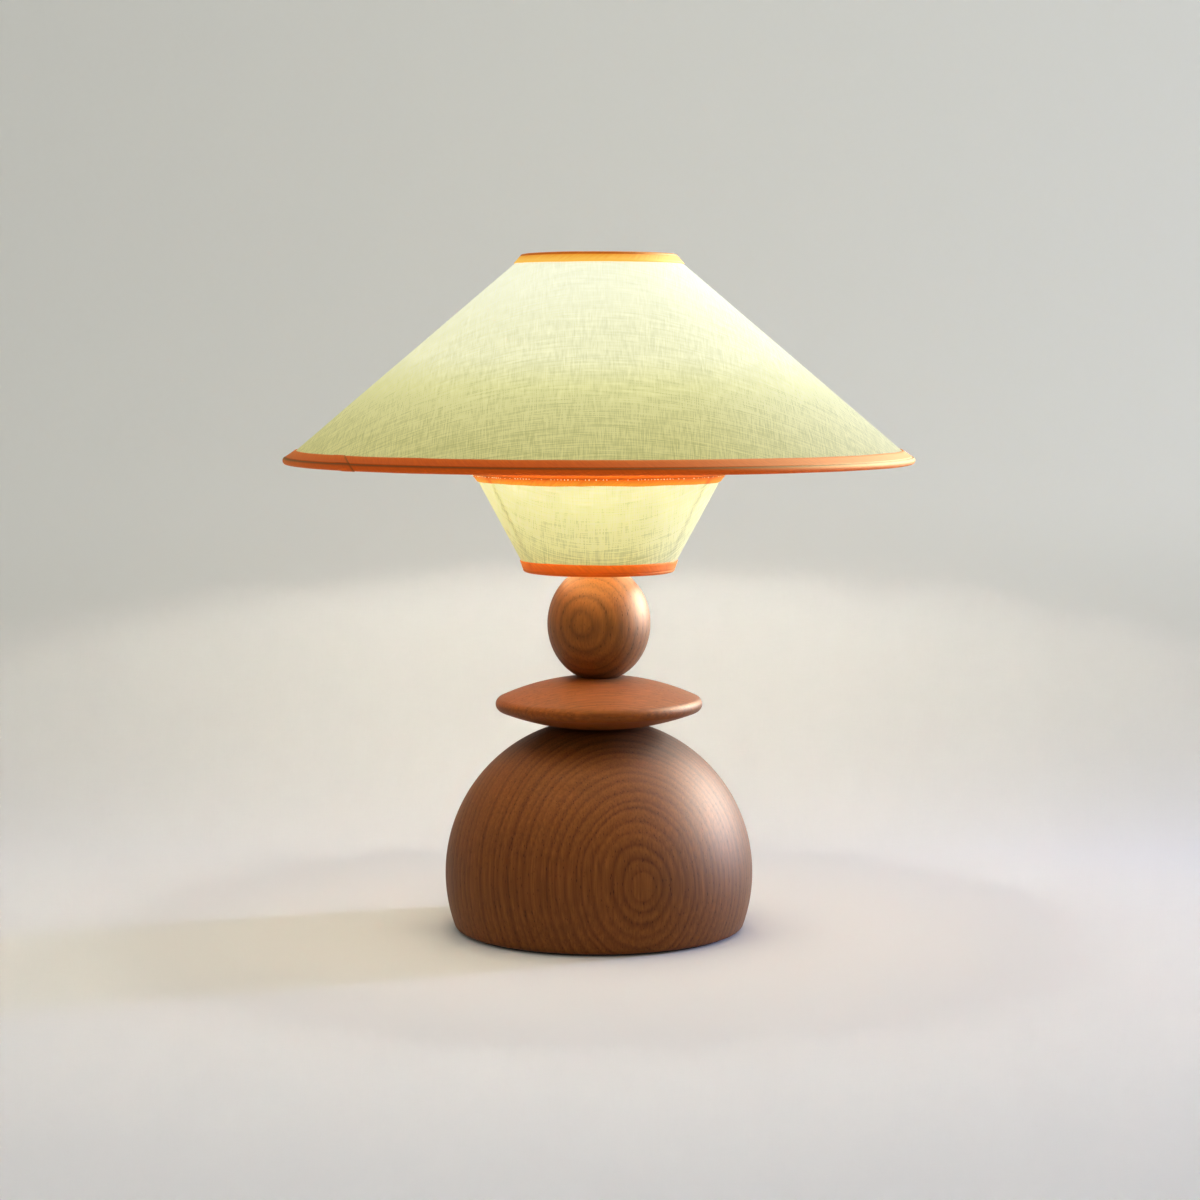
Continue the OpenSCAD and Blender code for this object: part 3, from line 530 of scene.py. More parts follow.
# Finishes of the frame's own nodes, by the record's material slots
FINISHES: dict[str, Finish] = {
    # Enamelled steel sheet, slightly pebbled
    "cover_paint": SolidFinish("black_baked_enamel", "#2c2926", "#211f1d", 0.55, 0.15, 0.8, 0.04),
    # Pressed wool felt, fibrous and dull
    "felt": SolidFinish("pressed_wool_felt", "#4d4944", "#33302c", 0.95, 0.05, 0.5, 0.35),
    # Moulded rubber, matte with a fine bloom
    "gland_rubber": SolidFinish("moulded_rubber", "#2a2521", "#1f1b18", 0.75, 0.15, 0.4, 0.04),
    # Zinc on steel, cloudy grey
    "zinc_steel": SolidFinish("zinc_plated_steel", "#c9c9c4", "#a9aaa6", 0.35, 0.2, 1.5, 0.01, 1.0),
    # Drawn brass, lightly brushed around the stem
    "brass": SolidFinish("drawn_brass", "#d8b063", "#bd9448", 0.3, 0.15, 0.5, 0.01, 1.0, (1.0, 1.0, 8.0)),
    # Moulded polyamide, milky
    "block_nylon": SolidFinish("milky_nylon", "#ece8dc", "#dfdacb", 0.5, 0.1, 1.0, 0.02),
    # PVC sleeves of the two leads
    "brown_insulation": SolidFinish("brown_pvc", "#774a2b", "#663d22", 0.45, 0.1, 0.6, 0.01),
    "blue_insulation": SolidFinish("blue_pvc", "#3a68a8", "#31598f", 0.45, 0.1, 0.6, 0.01),
    # Moulded phenolic resin, black-brown with a satin skin
    "holder_phenolic": SolidFinish("black_phenolic_resin", "#262322", "#1a1817", 0.38, 0.12, 0.6, 0.02),
    # Glazed steatite
    "core_ceramic": SolidFinish("glazed_steatite", "#efebe1", "#e4dfd2", 0.18, 0.08, 2.0, 0.02),
    "opal_glass": LitGlass("opal_glass_alight"),
    # Clear drawn glass
    "clear_glass": SolidFinish("clear_drawn_glass", "#f2f7f5", "#e6efec", 0.05, 0.04, 2.0, 0.0, clear=0.95),
    # Rolled aluminium of the bulb's screw cap
    "cap_metal": SolidFinish(
        "rolled_aluminium", "#d4d4d0", "#bcbcb8", 0.3, 0.15, 0.6, 0.01, 1.0, (1.0, 1.0, 6.0)
    ),
    # Vitrified black glass
    "black_glass": SolidFinish("black_vitrite", "#1d1b1a", "#121110", 0.12, 0.05, 1.0, 0.01),
    # Phosphor coat of the glowing filaments
    "phosphor": SolidFinish(
        "phosphor_coat", "#f6d873", "#e9c557", 0.7, 0.1, 0.3, 0.02, light="#ffcf70", strength=4.0
    ),
    # Powder coat, white with a fine orange peel
    "frame_paint": SolidFinish("white_powder_coat", "#ebe8df", "#dfdbd0", 0.45, 0.1, 0.9, 0.04),
    # Matte styrene film with a painted glow that stands for the bulb's light bouncing off its inside
    "lining_film": SolidFinish(
        "glowing_styrene_film", "#f4efe0", "#ece6d4", 0.6, 0.1, 1.2, 0.02, light="#fff7e8", strength=0.7
    ),
    "shade_cloth": CLOTH,
    "edge_tape": TAPE,
}


def new_object(name: str, data: bpy.types.ID) -> bpy.types.Object:
    """Puts a mesh, a light or a camera in the scene under a name."""
    made = bpy.data.objects.new(name, data)
    bpy.context.scene.collection.objects.link(made)
    return made


def plain_object(name: str, mesh: bpy.types.Mesh, finish: Finish) -> bpy.types.Object:
    """Puts a mesh in the scene under a name, with one finish.

    Args:
        name: The piece's name.
        mesh: Its finished mesh, in place.
        finish: What it is made of.

    Returns:
        The piece's object, at the origin.
    """
    mesh.materials.clear()
    mesh.materials.append(finish.material())
    return new_object(name, mesh)


def settle(obj: bpy.types.Object) -> None:
    """Turns an object's modifiers into a plain mesh and drops them."""
    bpy.context.view_layer.update()
    graph = bpy.context.evaluated_depsgraph_get()
    done = bpy.data.meshes.new_from_object(obj.evaluated_get(graph))
    obj.modifiers.clear()
    obj.data = done


def geometry_tree(name: str, inputs: dict[str, str], result: str) -> bpy.types.NodeTree:
    """Starts a Geometry Nodes tree.

    Args:
        name: The tree's name.
        inputs: The kind of each input, by its name.
        result: The output's name.

    Returns:
        The tree, still without nodes.
    """
    tree = bpy.data.node_groups.new(name, "GeometryNodeTree")
    for label, kind in inputs.items():
        tree.interface.new_socket(label, in_out="INPUT", socket_type=f"NodeSocket{kind}")
    tree.interface.new_socket(result, in_out="OUTPUT", socket_type="NodeSocketGeometry")
    return tree


def run_tree(obj: bpy.types.Object, tree: bpy.types.NodeTree, values: dict[str, Any]) -> None:
    """Runs a Geometry Nodes tree on an object and keeps the result as a plain mesh.

    Args:
        obj: The object, with the mesh that the tree starts from.
        tree: The tree.
        values: The tree's other inputs, by name.
    """
    modifier = obj.modifiers.new(tree.name, "NODES")
    modifier.node_group = tree
    sockets = {item.name: item.identifier for item in tree.interface.items_tree}
    for name, value in values.items():
        modifier[sockets[name]] = value
    settle(obj)


def strip_faces(rings: int, count: int, closed: bool) -> list[tuple[int, ...]]:
    """Faces between rings of points that follow each other.

    Args:
        rings: Number of rings.
        count: Points on each.
        closed: Whether a ring's last point joins its first.

    Returns:
        The faces' points.
    """
    return [
        (i * count + j, (i + 1) * count + j, (i + 1) * count + (j + 1) % count, i * count + (j + 1) % count)
        for i in range(rings - 1)
        for j in range(count if closed else count - 1)
    ]


def mark_points(
    mesh: bpy.types.Mesh, layer: str, flats: Sequence[Point2], **marks: Sequence[float]
) -> None:
    """Gives a mesh a UV map and named values, point by point.

    Args:
        mesh: The mesh.
        layer: The UV map's name.
        flats: Each point's place on the map.
        marks: Each point's value, for each name.
    """
    uvs = mesh.uv_layers.new(name=layer)
    for loop in mesh.loops:
        uvs.data[loop.index].uv = flats[loop.vertex_index]
    for name, values in marks.items():
        mesh.attributes.new(name, "FLOAT", "POINT").data.foreach_set("value", values)


def close_up(mesh: bpy.types.Mesh, sharp_degrees: float = 35.0) -> None:
    """Merges doubles, turns faces outwards and smooths all but the sharp edges.

    Args:
        mesh: A closed mesh.
        sharp_degrees: Edges that bend more than this stay sharp.
    """
    work = bmesh.new()
    work.from_mesh(mesh)
    bmesh.ops.remove_doubles(work, verts=work.verts, dist=1e-6)
    bmesh.ops.recalc_face_normals(work, faces=work.faces)
    work.to_mesh(mesh)
    work.free()
    mesh.shade_smooth()
    mesh.set_sharp_from_angle(angle=math.radians(sharp_degrees))


def place_in_frame(obj: bpy.types.Object, body: Body, slot: str, *nodes: str) -> bpy.types.Object:
    """Ties a piece to its body and hides the frame's nodes that it stands for.

    Args:
        obj: The finished piece.
        body: The body that it moves with.
        slot: The record's material slot; not used.
        nodes: The frame's nodes that it replaces.

    Returns:
        The same piece.
    """
    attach(obj, body.value)
    if nodes:
        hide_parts(*nodes)
    LOG.info("%s: %d faces, rides on %s", obj.name, len(obj.data.polygons), body.value)
    return obj


def arc(centre: Point2, radius: float, start: float, end: float, steps: int) -> list[Point2]:
    """Points on an arc.

    Args:
        centre: Middle of the arc.
        radius: Its radius.
        start: First angle, in degrees.
        end: Last angle, in degrees.
        steps: Number of pieces between them.

    Returns:
        The points, both ends included.
    """
    turns = [math.radians(start + (end - start) * i / steps) for i in range(steps + 1)]
    return [(centre[0] + radius * math.cos(a), centre[1] + radius * math.sin(a)) for a in turns]


@dataclass
class Lathe:
    """Turns closed outlines around the stem with Geometry Nodes."""

    segments: int = 224
    axis_distance: float = 40.0
    tree: bpy.types.NodeTree = field(init=False)

    def __post_init__(self) -> None:
        """Builds the node tree: the outline follows a circle around the stem."""
        inputs = {"Outline": "Geometry", "Segments": "Int", "Axis Distance": "Float", "Finish": "Material"}
        tree = geometry_tree("turned_outline", inputs, "Turned")
        add = partial(add_node, tree)
        given = add("NodeGroupInput").outputs
        outline = add("GeometryNodeMeshToCurve", {"Mesh": given["Outline"]})
        circle = add(
            "GeometryNodeCurvePrimitiveCircle",
            {"Resolution": given["Segments"], "Radius": given["Axis Distance"]}, mode="RADIUS",
        )
        level = add("GeometryNodeSetCurveNormal", {"Curve": circle}, mode="Z_UP")
        swept = add("GeometryNodeCurveToMesh", {"Curve": level, "Profile Curve": outline})
        solid = add("GeometryNodeRealizeInstances", {"Geometry": swept})
        dressed = add("GeometryNodeSetMaterial", {"Geometry": solid, "Material": given["Finish"]})
        add("NodeGroupOutput", {"Turned": dressed})
        self.tree = tree

    def turn(self, name: str, outline: Sequence[Point2], finish: Finish) -> bpy.types.Object:
        """Turns one outline.

        Args:
            name: The piece's name.
            outline: Closed outline of radius and height, clear of the axis.
            finish: What the piece is made of.

        Returns:
            The turned piece, as a plain mesh.
        """
        seed = bpy.data.meshes.new(name)
        last = len(outline) - 1
        seed.from_pydata(
            [((r - self.axis_distance) * MM, -z * MM, 0.0) for r, z in outline],
            [(i, i + 1) for i in range(last)] + [(last, 0)], [],
        )
        made = plain_object(name, seed, finish)
        run_tree(made, self.tree, {
            "Segments": self.segments, "Axis Distance": self.axis_distance * MM,
            "Finish": finish.material(),
        })
        close_up(made.data)
        return made


@dataclass
class TurnedStem:
    """The three turned ash pieces that the lampholder stands on.

    An eye is the spot that a round piece's rings close around: its degrees from the front towards
    the right, its degrees above the middle, and how far in front of it the trunk's pith lies.
    """

    ball_r: float = 86.5
    ball_z: float = 32.0
    wood_z: float = 1.2
    foot_r: float = 3.0
    seat_r: float = 27.5
    hole_r: float = 5.25
    cover_r: float = 64.74
    cover_t: float = 3.0
    recess_r: float = 53.74
    recess_z: float = 27.2
    gland_z: float = 15.2
    gland_hole_r: float = 5.1
    gland_seat_r: float = 8.1
    gland_seat_y: float = 82.44
    cut_overlap: float = 1.0
    cut_past: float = 4.0
    cut_segments: int = 72
    disc_r: float = 58.0
    disc_rim_r: float = 4.1
    disc_rim_h: float = 13.3
    disc_h: float = 28.4
    disc_seat_cut: float = 0.7
    egg_r: float = 28.9
    egg_half_h: float = 32.5
    egg_end_cut: float = 2.4
    egg_steps: int = 56
    dome_eye: Point3 = (15.0, 5.0, 110.0)
    egg_eye: Point3 = (-19.0, 3.0, 400.0)
    disc_pith: Point3 = (0.0, 190.0, 4.0)
    disc_trunk: Point3 = (1.0, 0.1, 0.02)
    disc_nearest: float = 120.0
    lathe: Lathe = field(default_factory=Lathe)

    @property
    def disc_z(self) -> float:
        """Height of the dome's flat seat, which carries the disc."""
        return self.ball_z + math.sqrt(self.ball_r**2 - self.seat_r**2)

    @property
    def egg_z(self) -> float:
        """Height of the disc's upper seat, which carries the egg."""
        return self.disc_z + self.disc_h

    @property
    def egg_mid_z(self) -> float:
        """Height of the egg's widest level."""
        return self.egg_z + self.egg_half_h - self.egg_end_cut

    def dome_outline(self) -> list[Point2]:
        """Outline of the dome with its recess: underside, ball, seat, stem hole, recess, rebate."""
        low = self.ball_z - self.wood_z - self.foot_r
        foot_x = math.sqrt((self.ball_r - self.foot_r) ** 2 - low**2)
        foot_a = -math.degrees(math.atan2(low, foot_x))
        seat_a = math.degrees(math.acos(self.seat_r / self.ball_r))
        ledge_z = self.wood_z + self.cover_t
        return [
            (self.cover_r, self.wood_z),
            *arc((foot_x, self.wood_z + self.foot_r), self.foot_r, -90, foot_a, steps=8),
            *arc((0, self.ball_z), self.ball_r, foot_a, seat_a, steps=72)[1:],
            (self.hole_r, self.disc_z),
            (self.hole_r, self.recess_z),
            (self.recess_r, self.recess_z),
            (self.recess_r, ledge_z),
            (self.cover_r, ledge_z),
        ]

    def disc_outline(self) -> list[Point2]:
        """Outline of the disc: two crowns that run smoothly into its round rim."""
        rim_x, rim_z = self.disc_r - self.disc_rim_r, self.disc_z + self.disc_rim_h
        points: list[Point2] = [(self.hole_r, self.disc_z)]
        crowns = []
        for to_seat in (self.disc_rim_h, self.disc_h - self.disc_rim_h):
            height = to_seat + self.disc_seat_cut
            radius = (rim_x**2 + height**2 - self.disc_rim_r**2) / (2 * (height - self.disc_rim_r))
            rim_a = math.degrees(math.atan2(radius - height, rim_x))
            seat_a = math.degrees(math.asin((radius - self.disc_seat_cut) / radius))
            crowns.append((radius, height, rim_a, seat_a))
        (low_r, low_h, low_rim, low_seat), (top_r, top_h, top_rim, top_seat) = crowns
        points += arc((0, rim_z + low_r - low_h), low_r, -low_seat, -low_rim, steps=28)
        points += arc((rim_x, rim_z), self.disc_rim_r, -low_rim, top_rim, steps=20)[1:]
        points += arc((0, rim_z - top_r + top_h), top_r, top_rim, top_seat, steps=28)[1:]
        return [*points, (self.hole_r, self.egg_z)]

    def egg_outline(self) -> list[Point2]:
        """Outline of the egg: an ellipse between two flat ends."""
        end = math.asin(1 - self.egg_end_cut / self.egg_half_h)
        turns = [end * (2 * i / self.egg_steps - 1) for i in range(self.egg_steps + 1)]
        side = [(self.egg_r * math.cos(a), self.egg_mid_z + self.egg_half_h * math.sin(a)) for a in turns]
        return [(self.hole_r, side[0][1]), *side, (self.hole_r, side[-1][1])]

    def bullseye(self, name: str, middle_z: float, width_r: float, eye: Point3, **looks: Any) -> StainedAsh:
        """Ash whose rings close around one spot of a round piece.

        Args:
            name: The finish's name.
            middle_z: Height of the round piece's middle.
            width_r: Its radius there.
            eye: The spot.
            looks: Other fields of the finish.

        Returns:
            The finish for that piece.
        """
        turn, lift, hollow = math.radians(eye[0]), math.radians(eye[1]), eye[2]
        level = Vector((math.sin(turn), -math.cos(turn), 0))
        facing = level * math.cos(lift) + Vector((0, 0, math.sin(lift)))
        trunk = Vector((0, 0, math.cos(lift))) - level * math.sin(lift)
        pith = Vector((0, 0, middle_z)) + facing * (width_r + hollow)
        return StainedAsh(name, tuple(pith), tuple(trunk), hollow, **looks)

    def cut_gland_seat(self, dome: bpy.types.Object) -> None:
        """Sinks the cord gland's seat and hole into the dome's back."""
        cutters = []
        hole_start = self.recess_r - self.cut_overlap
        for radius, start in ((self.gland_hole_r, hole_start), (self.gland_seat_r, self.gland_seat_y)):
            length = self.ball_r + self.cut_past - start
            work = bmesh.new()
            bmesh.ops.create_cone(
                work, cap_ends=True, segments=self.cut_segments, radius1=radius * MM, radius2=radius * MM,
                depth=length * MM,
            )
            for vert in work.verts:
                x, y, z = vert.co
                vert.co = (x, (start + length / 2) * MM + z, self.gland_z * MM - y)
            mesh = bpy.data.meshes.new("gland_cutter")
            work.to_mesh(mesh)
            work.free()
            cutter = new_object("gland_cutter", mesh)
            cut = dome.modifiers.new("gland", "BOOLEAN")
            cut.operation, cut.solver, cut.object = "DIFFERENCE", "EXACT", cutter
            cutters.append(cutter)
        settle(dome)
        for cutter in cutters:
            bpy.data.objects.remove(cutter, do_unlink=True)
        close_up(dome.data)

    def build(self) -> None:
        """Turns the three pieces and ties them to the base."""
        dome_ash = self.bullseye("stained_ash_dome", self.ball_z, self.ball_r, self.dome_eye)
        egg_ash = self.bullseye(
            "stained_ash_egg", self.egg_mid_z, self.egg_r, self.egg_eye, late="#754017", rings_share=0.75,
            contrast=0.85, gloss=0.62, gloss_tint="#ffd08a", smoothest=0.56,
        )
        pith_x, pith_y, pith_up = self.disc_pith
        disc_ash = StainedAsh(
            "stained_ash_disc", (pith_x, pith_y, self.disc_z + pith_up), self.disc_trunk, self.disc_nearest,
            late="#804015", rings_share=2.0, wander=2.0, contrast=0.38, gloss=0.24, gloss_tint="#ffe9b0",
        )
        dome = self.lathe.turn("turned_dome", self.dome_outline(), dome_ash)
        self.cut_gland_seat(dome)
        disc = self.lathe.turn("turned_disc", self.disc_outline(), disc_ash)
        egg = self.lathe.turn("turned_egg", self.egg_outline(), egg_ash)
        for piece, node in ((dome, "base_dome"), (disc, "lens_disc"), (egg, "wooden_egg")):
            place_in_frame(piece, Body.BASE, "stained_ash", node)


@dataclass
class ConeWall:
    """A shade wall between two wire rings, each given as radius and height."""

    foot: Point2
    head: Point2
    strut_turns: tuple[float, ...] = ()
    passed: float = 1.0
    bulb_z: float = 313.0
    unit_far: float = 100.0
    stray: float = 0.1
    strut_r: float = 1.3
    strut_shade: float = 0.48
    strut_blur: float = 1.7
    ring_r: float = 29.0
    ring_z: float = 244.0
    ring_shade: float = 0.55
    ring_blur: float = 8.0

    @property
    def length(self) -> float:
        """Distance between the two wires."""
        return math.dist(self.foot, self.head)

    @property
    def along(self) -> Point2:
        """Direction from foot to head, in radius and height."""
        return tuple((h - f) / self.length for f, h in zip(self.foot, self.head))

    @property
    def outward(self) -> Point2:
        """Direction out of the wall, in radius and height."""
        return self.along[1], -self.along[0]

    def level(self, run: float, out: float) -> Point2:
        """Radius and height of a spot on the wall.

        Args:
            run: Distance from the foot wire towards the head wire.
            out: Distance in front of the wall's middle.

        Returns:
            Radius and height.
        """
        return tuple(f + run * a + out * o for f, a, o in zip(self.foot, self.along, self.outward))

    def spot(self, run: float, out: float, turn: float) -> Vector:
        """The same spot at an angle around the stem, in metres."""
        radius, height = self.level(run, out)
        return Vector((radius * math.sin(turn), -radius * math.cos(turn), height)) * MM

    def flat(self, run: float, turn: float) -> Point2:
        """Where a spot lies on the flat cut of the wall, in metres, with the front at the bottom."""
        opening = self.along[0]
        reach = self.level(run, 0)[0] / abs(opening)
        swing = turn * abs(opening)
        return reach * math.sin(swing) * MM, -math.copysign(reach * math.cos(swing), -opening) * MM

    def glow(self, run: float, turn: float) -> float:
        """Painted light of the bulb that reaches the wall's inside, shown as the cloth's and tapes'
        emission.

        The bulb's distance and slant count, the lampholder's ring paints shade on what lies low behind it,
        and each strut paints a soft shadow line on the wall in front of it.

        Args:
            run: Distance from the foot wire towards the head wire.
            turn: Angle around the stem.

        Returns:
            The light, with 1 at 100 mm from the bulb face on.
        """
        radius, height = self.level(run, 0)
        far = math.hypot(radius, height - self.bulb_z)
        slant = (radius * self.outward[0] + (height - self.bulb_z) * self.outward[1]) / far
        light = max(slant, 0.0) * (self.unit_far / far) ** 2
        if height < self.ring_z:
            passing = radius * (self.bulb_z - self.ring_z) / (self.bulb_z - height)
            clear = smooth_step((passing - self.ring_r + self.ring_blur) / (2 * self.ring_blur))
            light *= 1 - self.ring_shade + self.ring_shade * clear
        for strut in self.strut_turns:
            aside = abs(math.sin(turn - strut)) * radius if math.cos(turn - strut) > 0 else radius
            light *= 1 - self.strut_shade * math.exp(-((aside / (self.strut_blur * self.strut_r)) ** 2))
        return (light + self.stray) * self.passed


@dataclass
class ClothSheet:
    """The cloth on one wall: a cone cut, rolled up and lapped at the back."""

    wall: ConeWall
    start: float = 1.6
    out: float = 0.3
    thickness: float = 0.5
    lap: float = 8.0
    lap_rise: float = 0.4
    waviness: float = 0.1
    wave_length: float = 28.0
    sharp_degrees: float = 50.0
    turns: int = 360
    rows: int = 64

    @property
    def flat_area(self) -> float:
        """Area of the flat cut with its lap, in square metres."""
        mean_r = (self.wall.foot[0] + self.wall.head[0]) / 2
        return (TURN * mean_r + self.lap) * self.wall.length * MM * MM

    def build(self, name: str) -> bpy.types.Object:
        """Rolls the sheet and gives it its thickness, its flat cut as UVs and the painted light behind it.

        Args:
            name: The piece's name.

        Returns:
            The sheet as a plain mesh.
        """
        wall = self.wall
        lap_turn = self.lap / min(wall.foot[0], wall.head[0])
        rise_turn = lap_turn * self.lap_rise
        spots, flats, glows = [], [], []
        for i in range(self.turns + 1):
            turn = -math.pi + (TURN + lap_turn) * i / self.turns
            lift = self.thickness * smooth_step((turn - math.pi + rise_turn) / rise_turn)
            for j in range(self.rows + 1):
                run = self.start + (wall.length - 2 * self.start) * j / self.rows
                waver = self.waviness * noise.noise(wall.spot(run, 0, turn) / (self.wave_length * MM))
                spots.append(wall.spot(run, self.out + lift + waver, turn))
                flats.append(wall.flat(run, turn))
                glows.append(wall.glow(run, turn))
        mesh = bpy.data.meshes.new(name)
        mesh.from_pydata(spots, [], strip_faces(self.turns + 1, self.rows + 1, closed=False))
        mark_points(mesh, "cut", flats, glow=glows)
        mesh.shade_smooth()
        made = plain_object(name, mesh, CLOTH)
        thick = made.modifiers.new("thickness", "SOLIDIFY")
        thick.thickness, thick.offset = self.thickness * MM, 0.0
        settle(made)
        made.data.set_sharp_from_angle(angle=math.radians(self.sharp_degrees))
        return made


@dataclass
class FoldedTape:
    """Tape folded over a wire and down both faces of the wall, with its end lapped aslant."""

    wall: ConeWall
    edge: Edge
    width: float
    crease: float
    lit: float
    seed: float
    seam_turn: float = math.pi
    slant: float = 0.01
    ripple: float = 0.25
    # Where the painted crease shade is darkest, how far it reaches, and the depth that paints it fully dark
    crease_at: float = 0.05
    crease_reach: float = 1.3
    crease_full: float = 0.35
    # Distance from the wire that still counts as the bead over it
    bead_end: float = 1.0
    bead_r: float = 2.05
    wire_r: float = 1.6
    leg_out: float = 1.15
    wedge: float = 0.62
    corner: float = 0.14
    thickness: float = 0.5
    lap: float = 9.0
    # Distances before the lap at which the end starts to rise, and over which it does
    rise_before: float = 5.0
    rise_length: float = 4.0
    rise_share: float = 0.5
    # Painted shade on the faces of the lapped end
    end_shade: float = 0.8
    slow_length: float = 26.0
    quick_length: float = 7.0
    quick_share: float = 0.35
    bead_ripple: float = 0.3
    flank_ripple: float = 0.2
    # Shares of the bulb's painted light that pass the bead, the flank at the wire and more at its far edge
    bead_light: float = 0.42
    flank_light: float = 0.5
    edge_light: float = 0.8
    crease_light: float = 0.4
    sharp_degrees: float = 60.0
    steps: int = 420

    def outline(self) -> list[Point2]:
        """Closed outline of the folded tape: distance from the wire into the wall, distance out of it."""
        leg, width, wedge = self.leg_out, self.width, self.leg_out + self.wedge
        flank = [
            (width, leg - self.thickness), (width, leg - self.corner), (width - self.corner, leg),
            (width * 0.75, leg + 0.16), (width * 0.5, leg + 0.34), (2.2, leg + 0.5), (1.4, wedge),
            (1.1, wedge),
        ]
        pinch = [(x, wedge - share * self.crease) for x, share in ((0.92, 0.6), (0.72, 1.0), (0.52, 0.4))]
        half = [*flank, *pinch, *arc((0, 0), self.bead_r, 82, 180, steps=14)]
        outer = half + [(x, -y) for x, y in reversed(half[:-1])]
        inside = leg - self.thickness
        inside_a = math.degrees(math.asin(inside / self.wire_r))
        around_wire = arc((0, 0), self.wire_r, -inside_a, inside_a - 360, steps=28)
        return [*outer, (width * 0.6, -inside), *around_wire, (width * 0.6, inside)]

    def build(self, name: str) -> bpy.types.Object:
        """Sweeps the outline around the wall's edge, past its own start.

        Args:
            name: The piece's name.

        Returns:
            The tape as a plain closed mesh.
        """
        wall = self.wall
        at_foot = self.edge is Edge.FOOT
        ring_r = (wall.foot if at_foot else wall.head)[0]
        span = TURN + self.lap / ring_r
        outline = self.outline()
        count = len(outline)
        lengths = [0.0]
        for a, b in zip(outline, outline[1:]):
            lengths.append(lengths[-1] + math.dist(a, b))
        # Painted shade at the creases and on the end faces
        depth = self.crease / self.crease_full
        crease_shading = [depth * max(0.0, 1.0 - abs(x - self.crease_at) / self.crease_reach) for x, _ in outline]
        folds = crease_shading * self.steps + [self.end_shade] * count
        spots, glows, strips = [], [], []
        for i in range(self.steps + 1):
            swept = span * i / self.steps
            risen = smooth_step((swept - TURN + self.rise_before / ring_r) / (self.rise_length / ring_r))
            lift = self.rise_share * self.thickness * risen
            for (into, out), length, dark in zip(outline, lengths, crease_shading):
                turn = self.seam_turn + swept + self.slant * into
                around = Vector((math.sin(turn), math.cos(turn), self.seed)) * ring_r
                slow = noise.noise(around / self.slow_length) * self.ripple
                quick = noise.noise(around / self.quick_length + Vector((9, 0, 0))) * self.ripple
                waver = slow + quick * self.quick_share
                if into < self.bead_end:
                    far = math.hypot(into, out)
                    grown = (far + lift + waver * self.bead_ripple) / far
                    into_there, out_there, passed = into * grown, out * grown, self.bead_light
                else:
                    into_there = into + waver * into / self.width
                    out_there = out + math.copysign(lift + max(slow, 0) * self.flank_ripple, out)
                    passed = self.flank_light + self.edge_light * into / self.width
                run = into_there if at_foot else wall.length - into_there
                spots.append(wall.spot(run, out_there, turn))
                light = wall.glow(min(max(run, 0), wall.length), turn) * self.lit
                glows.append(light * passed * (1 - self.crease_light * dark))
                strips.append((turn * ring_r * MM, length * MM))
        faces = strip_faces(self.steps + 1, count, closed=True)
        last = self.steps * count
        faces += [tuple(range(count)), tuple(range(last + count - 1, last - 1, -1))]
        mesh = bpy.data.meshes.new(name)
        mesh.from_pydata(spots, [], faces)
        mark_points(mesh, "strip", strips, glow=glows, fold=folds)
        close_up(mesh, self.sharp_degrees)
        return plain_object(name, mesh, TAPE)


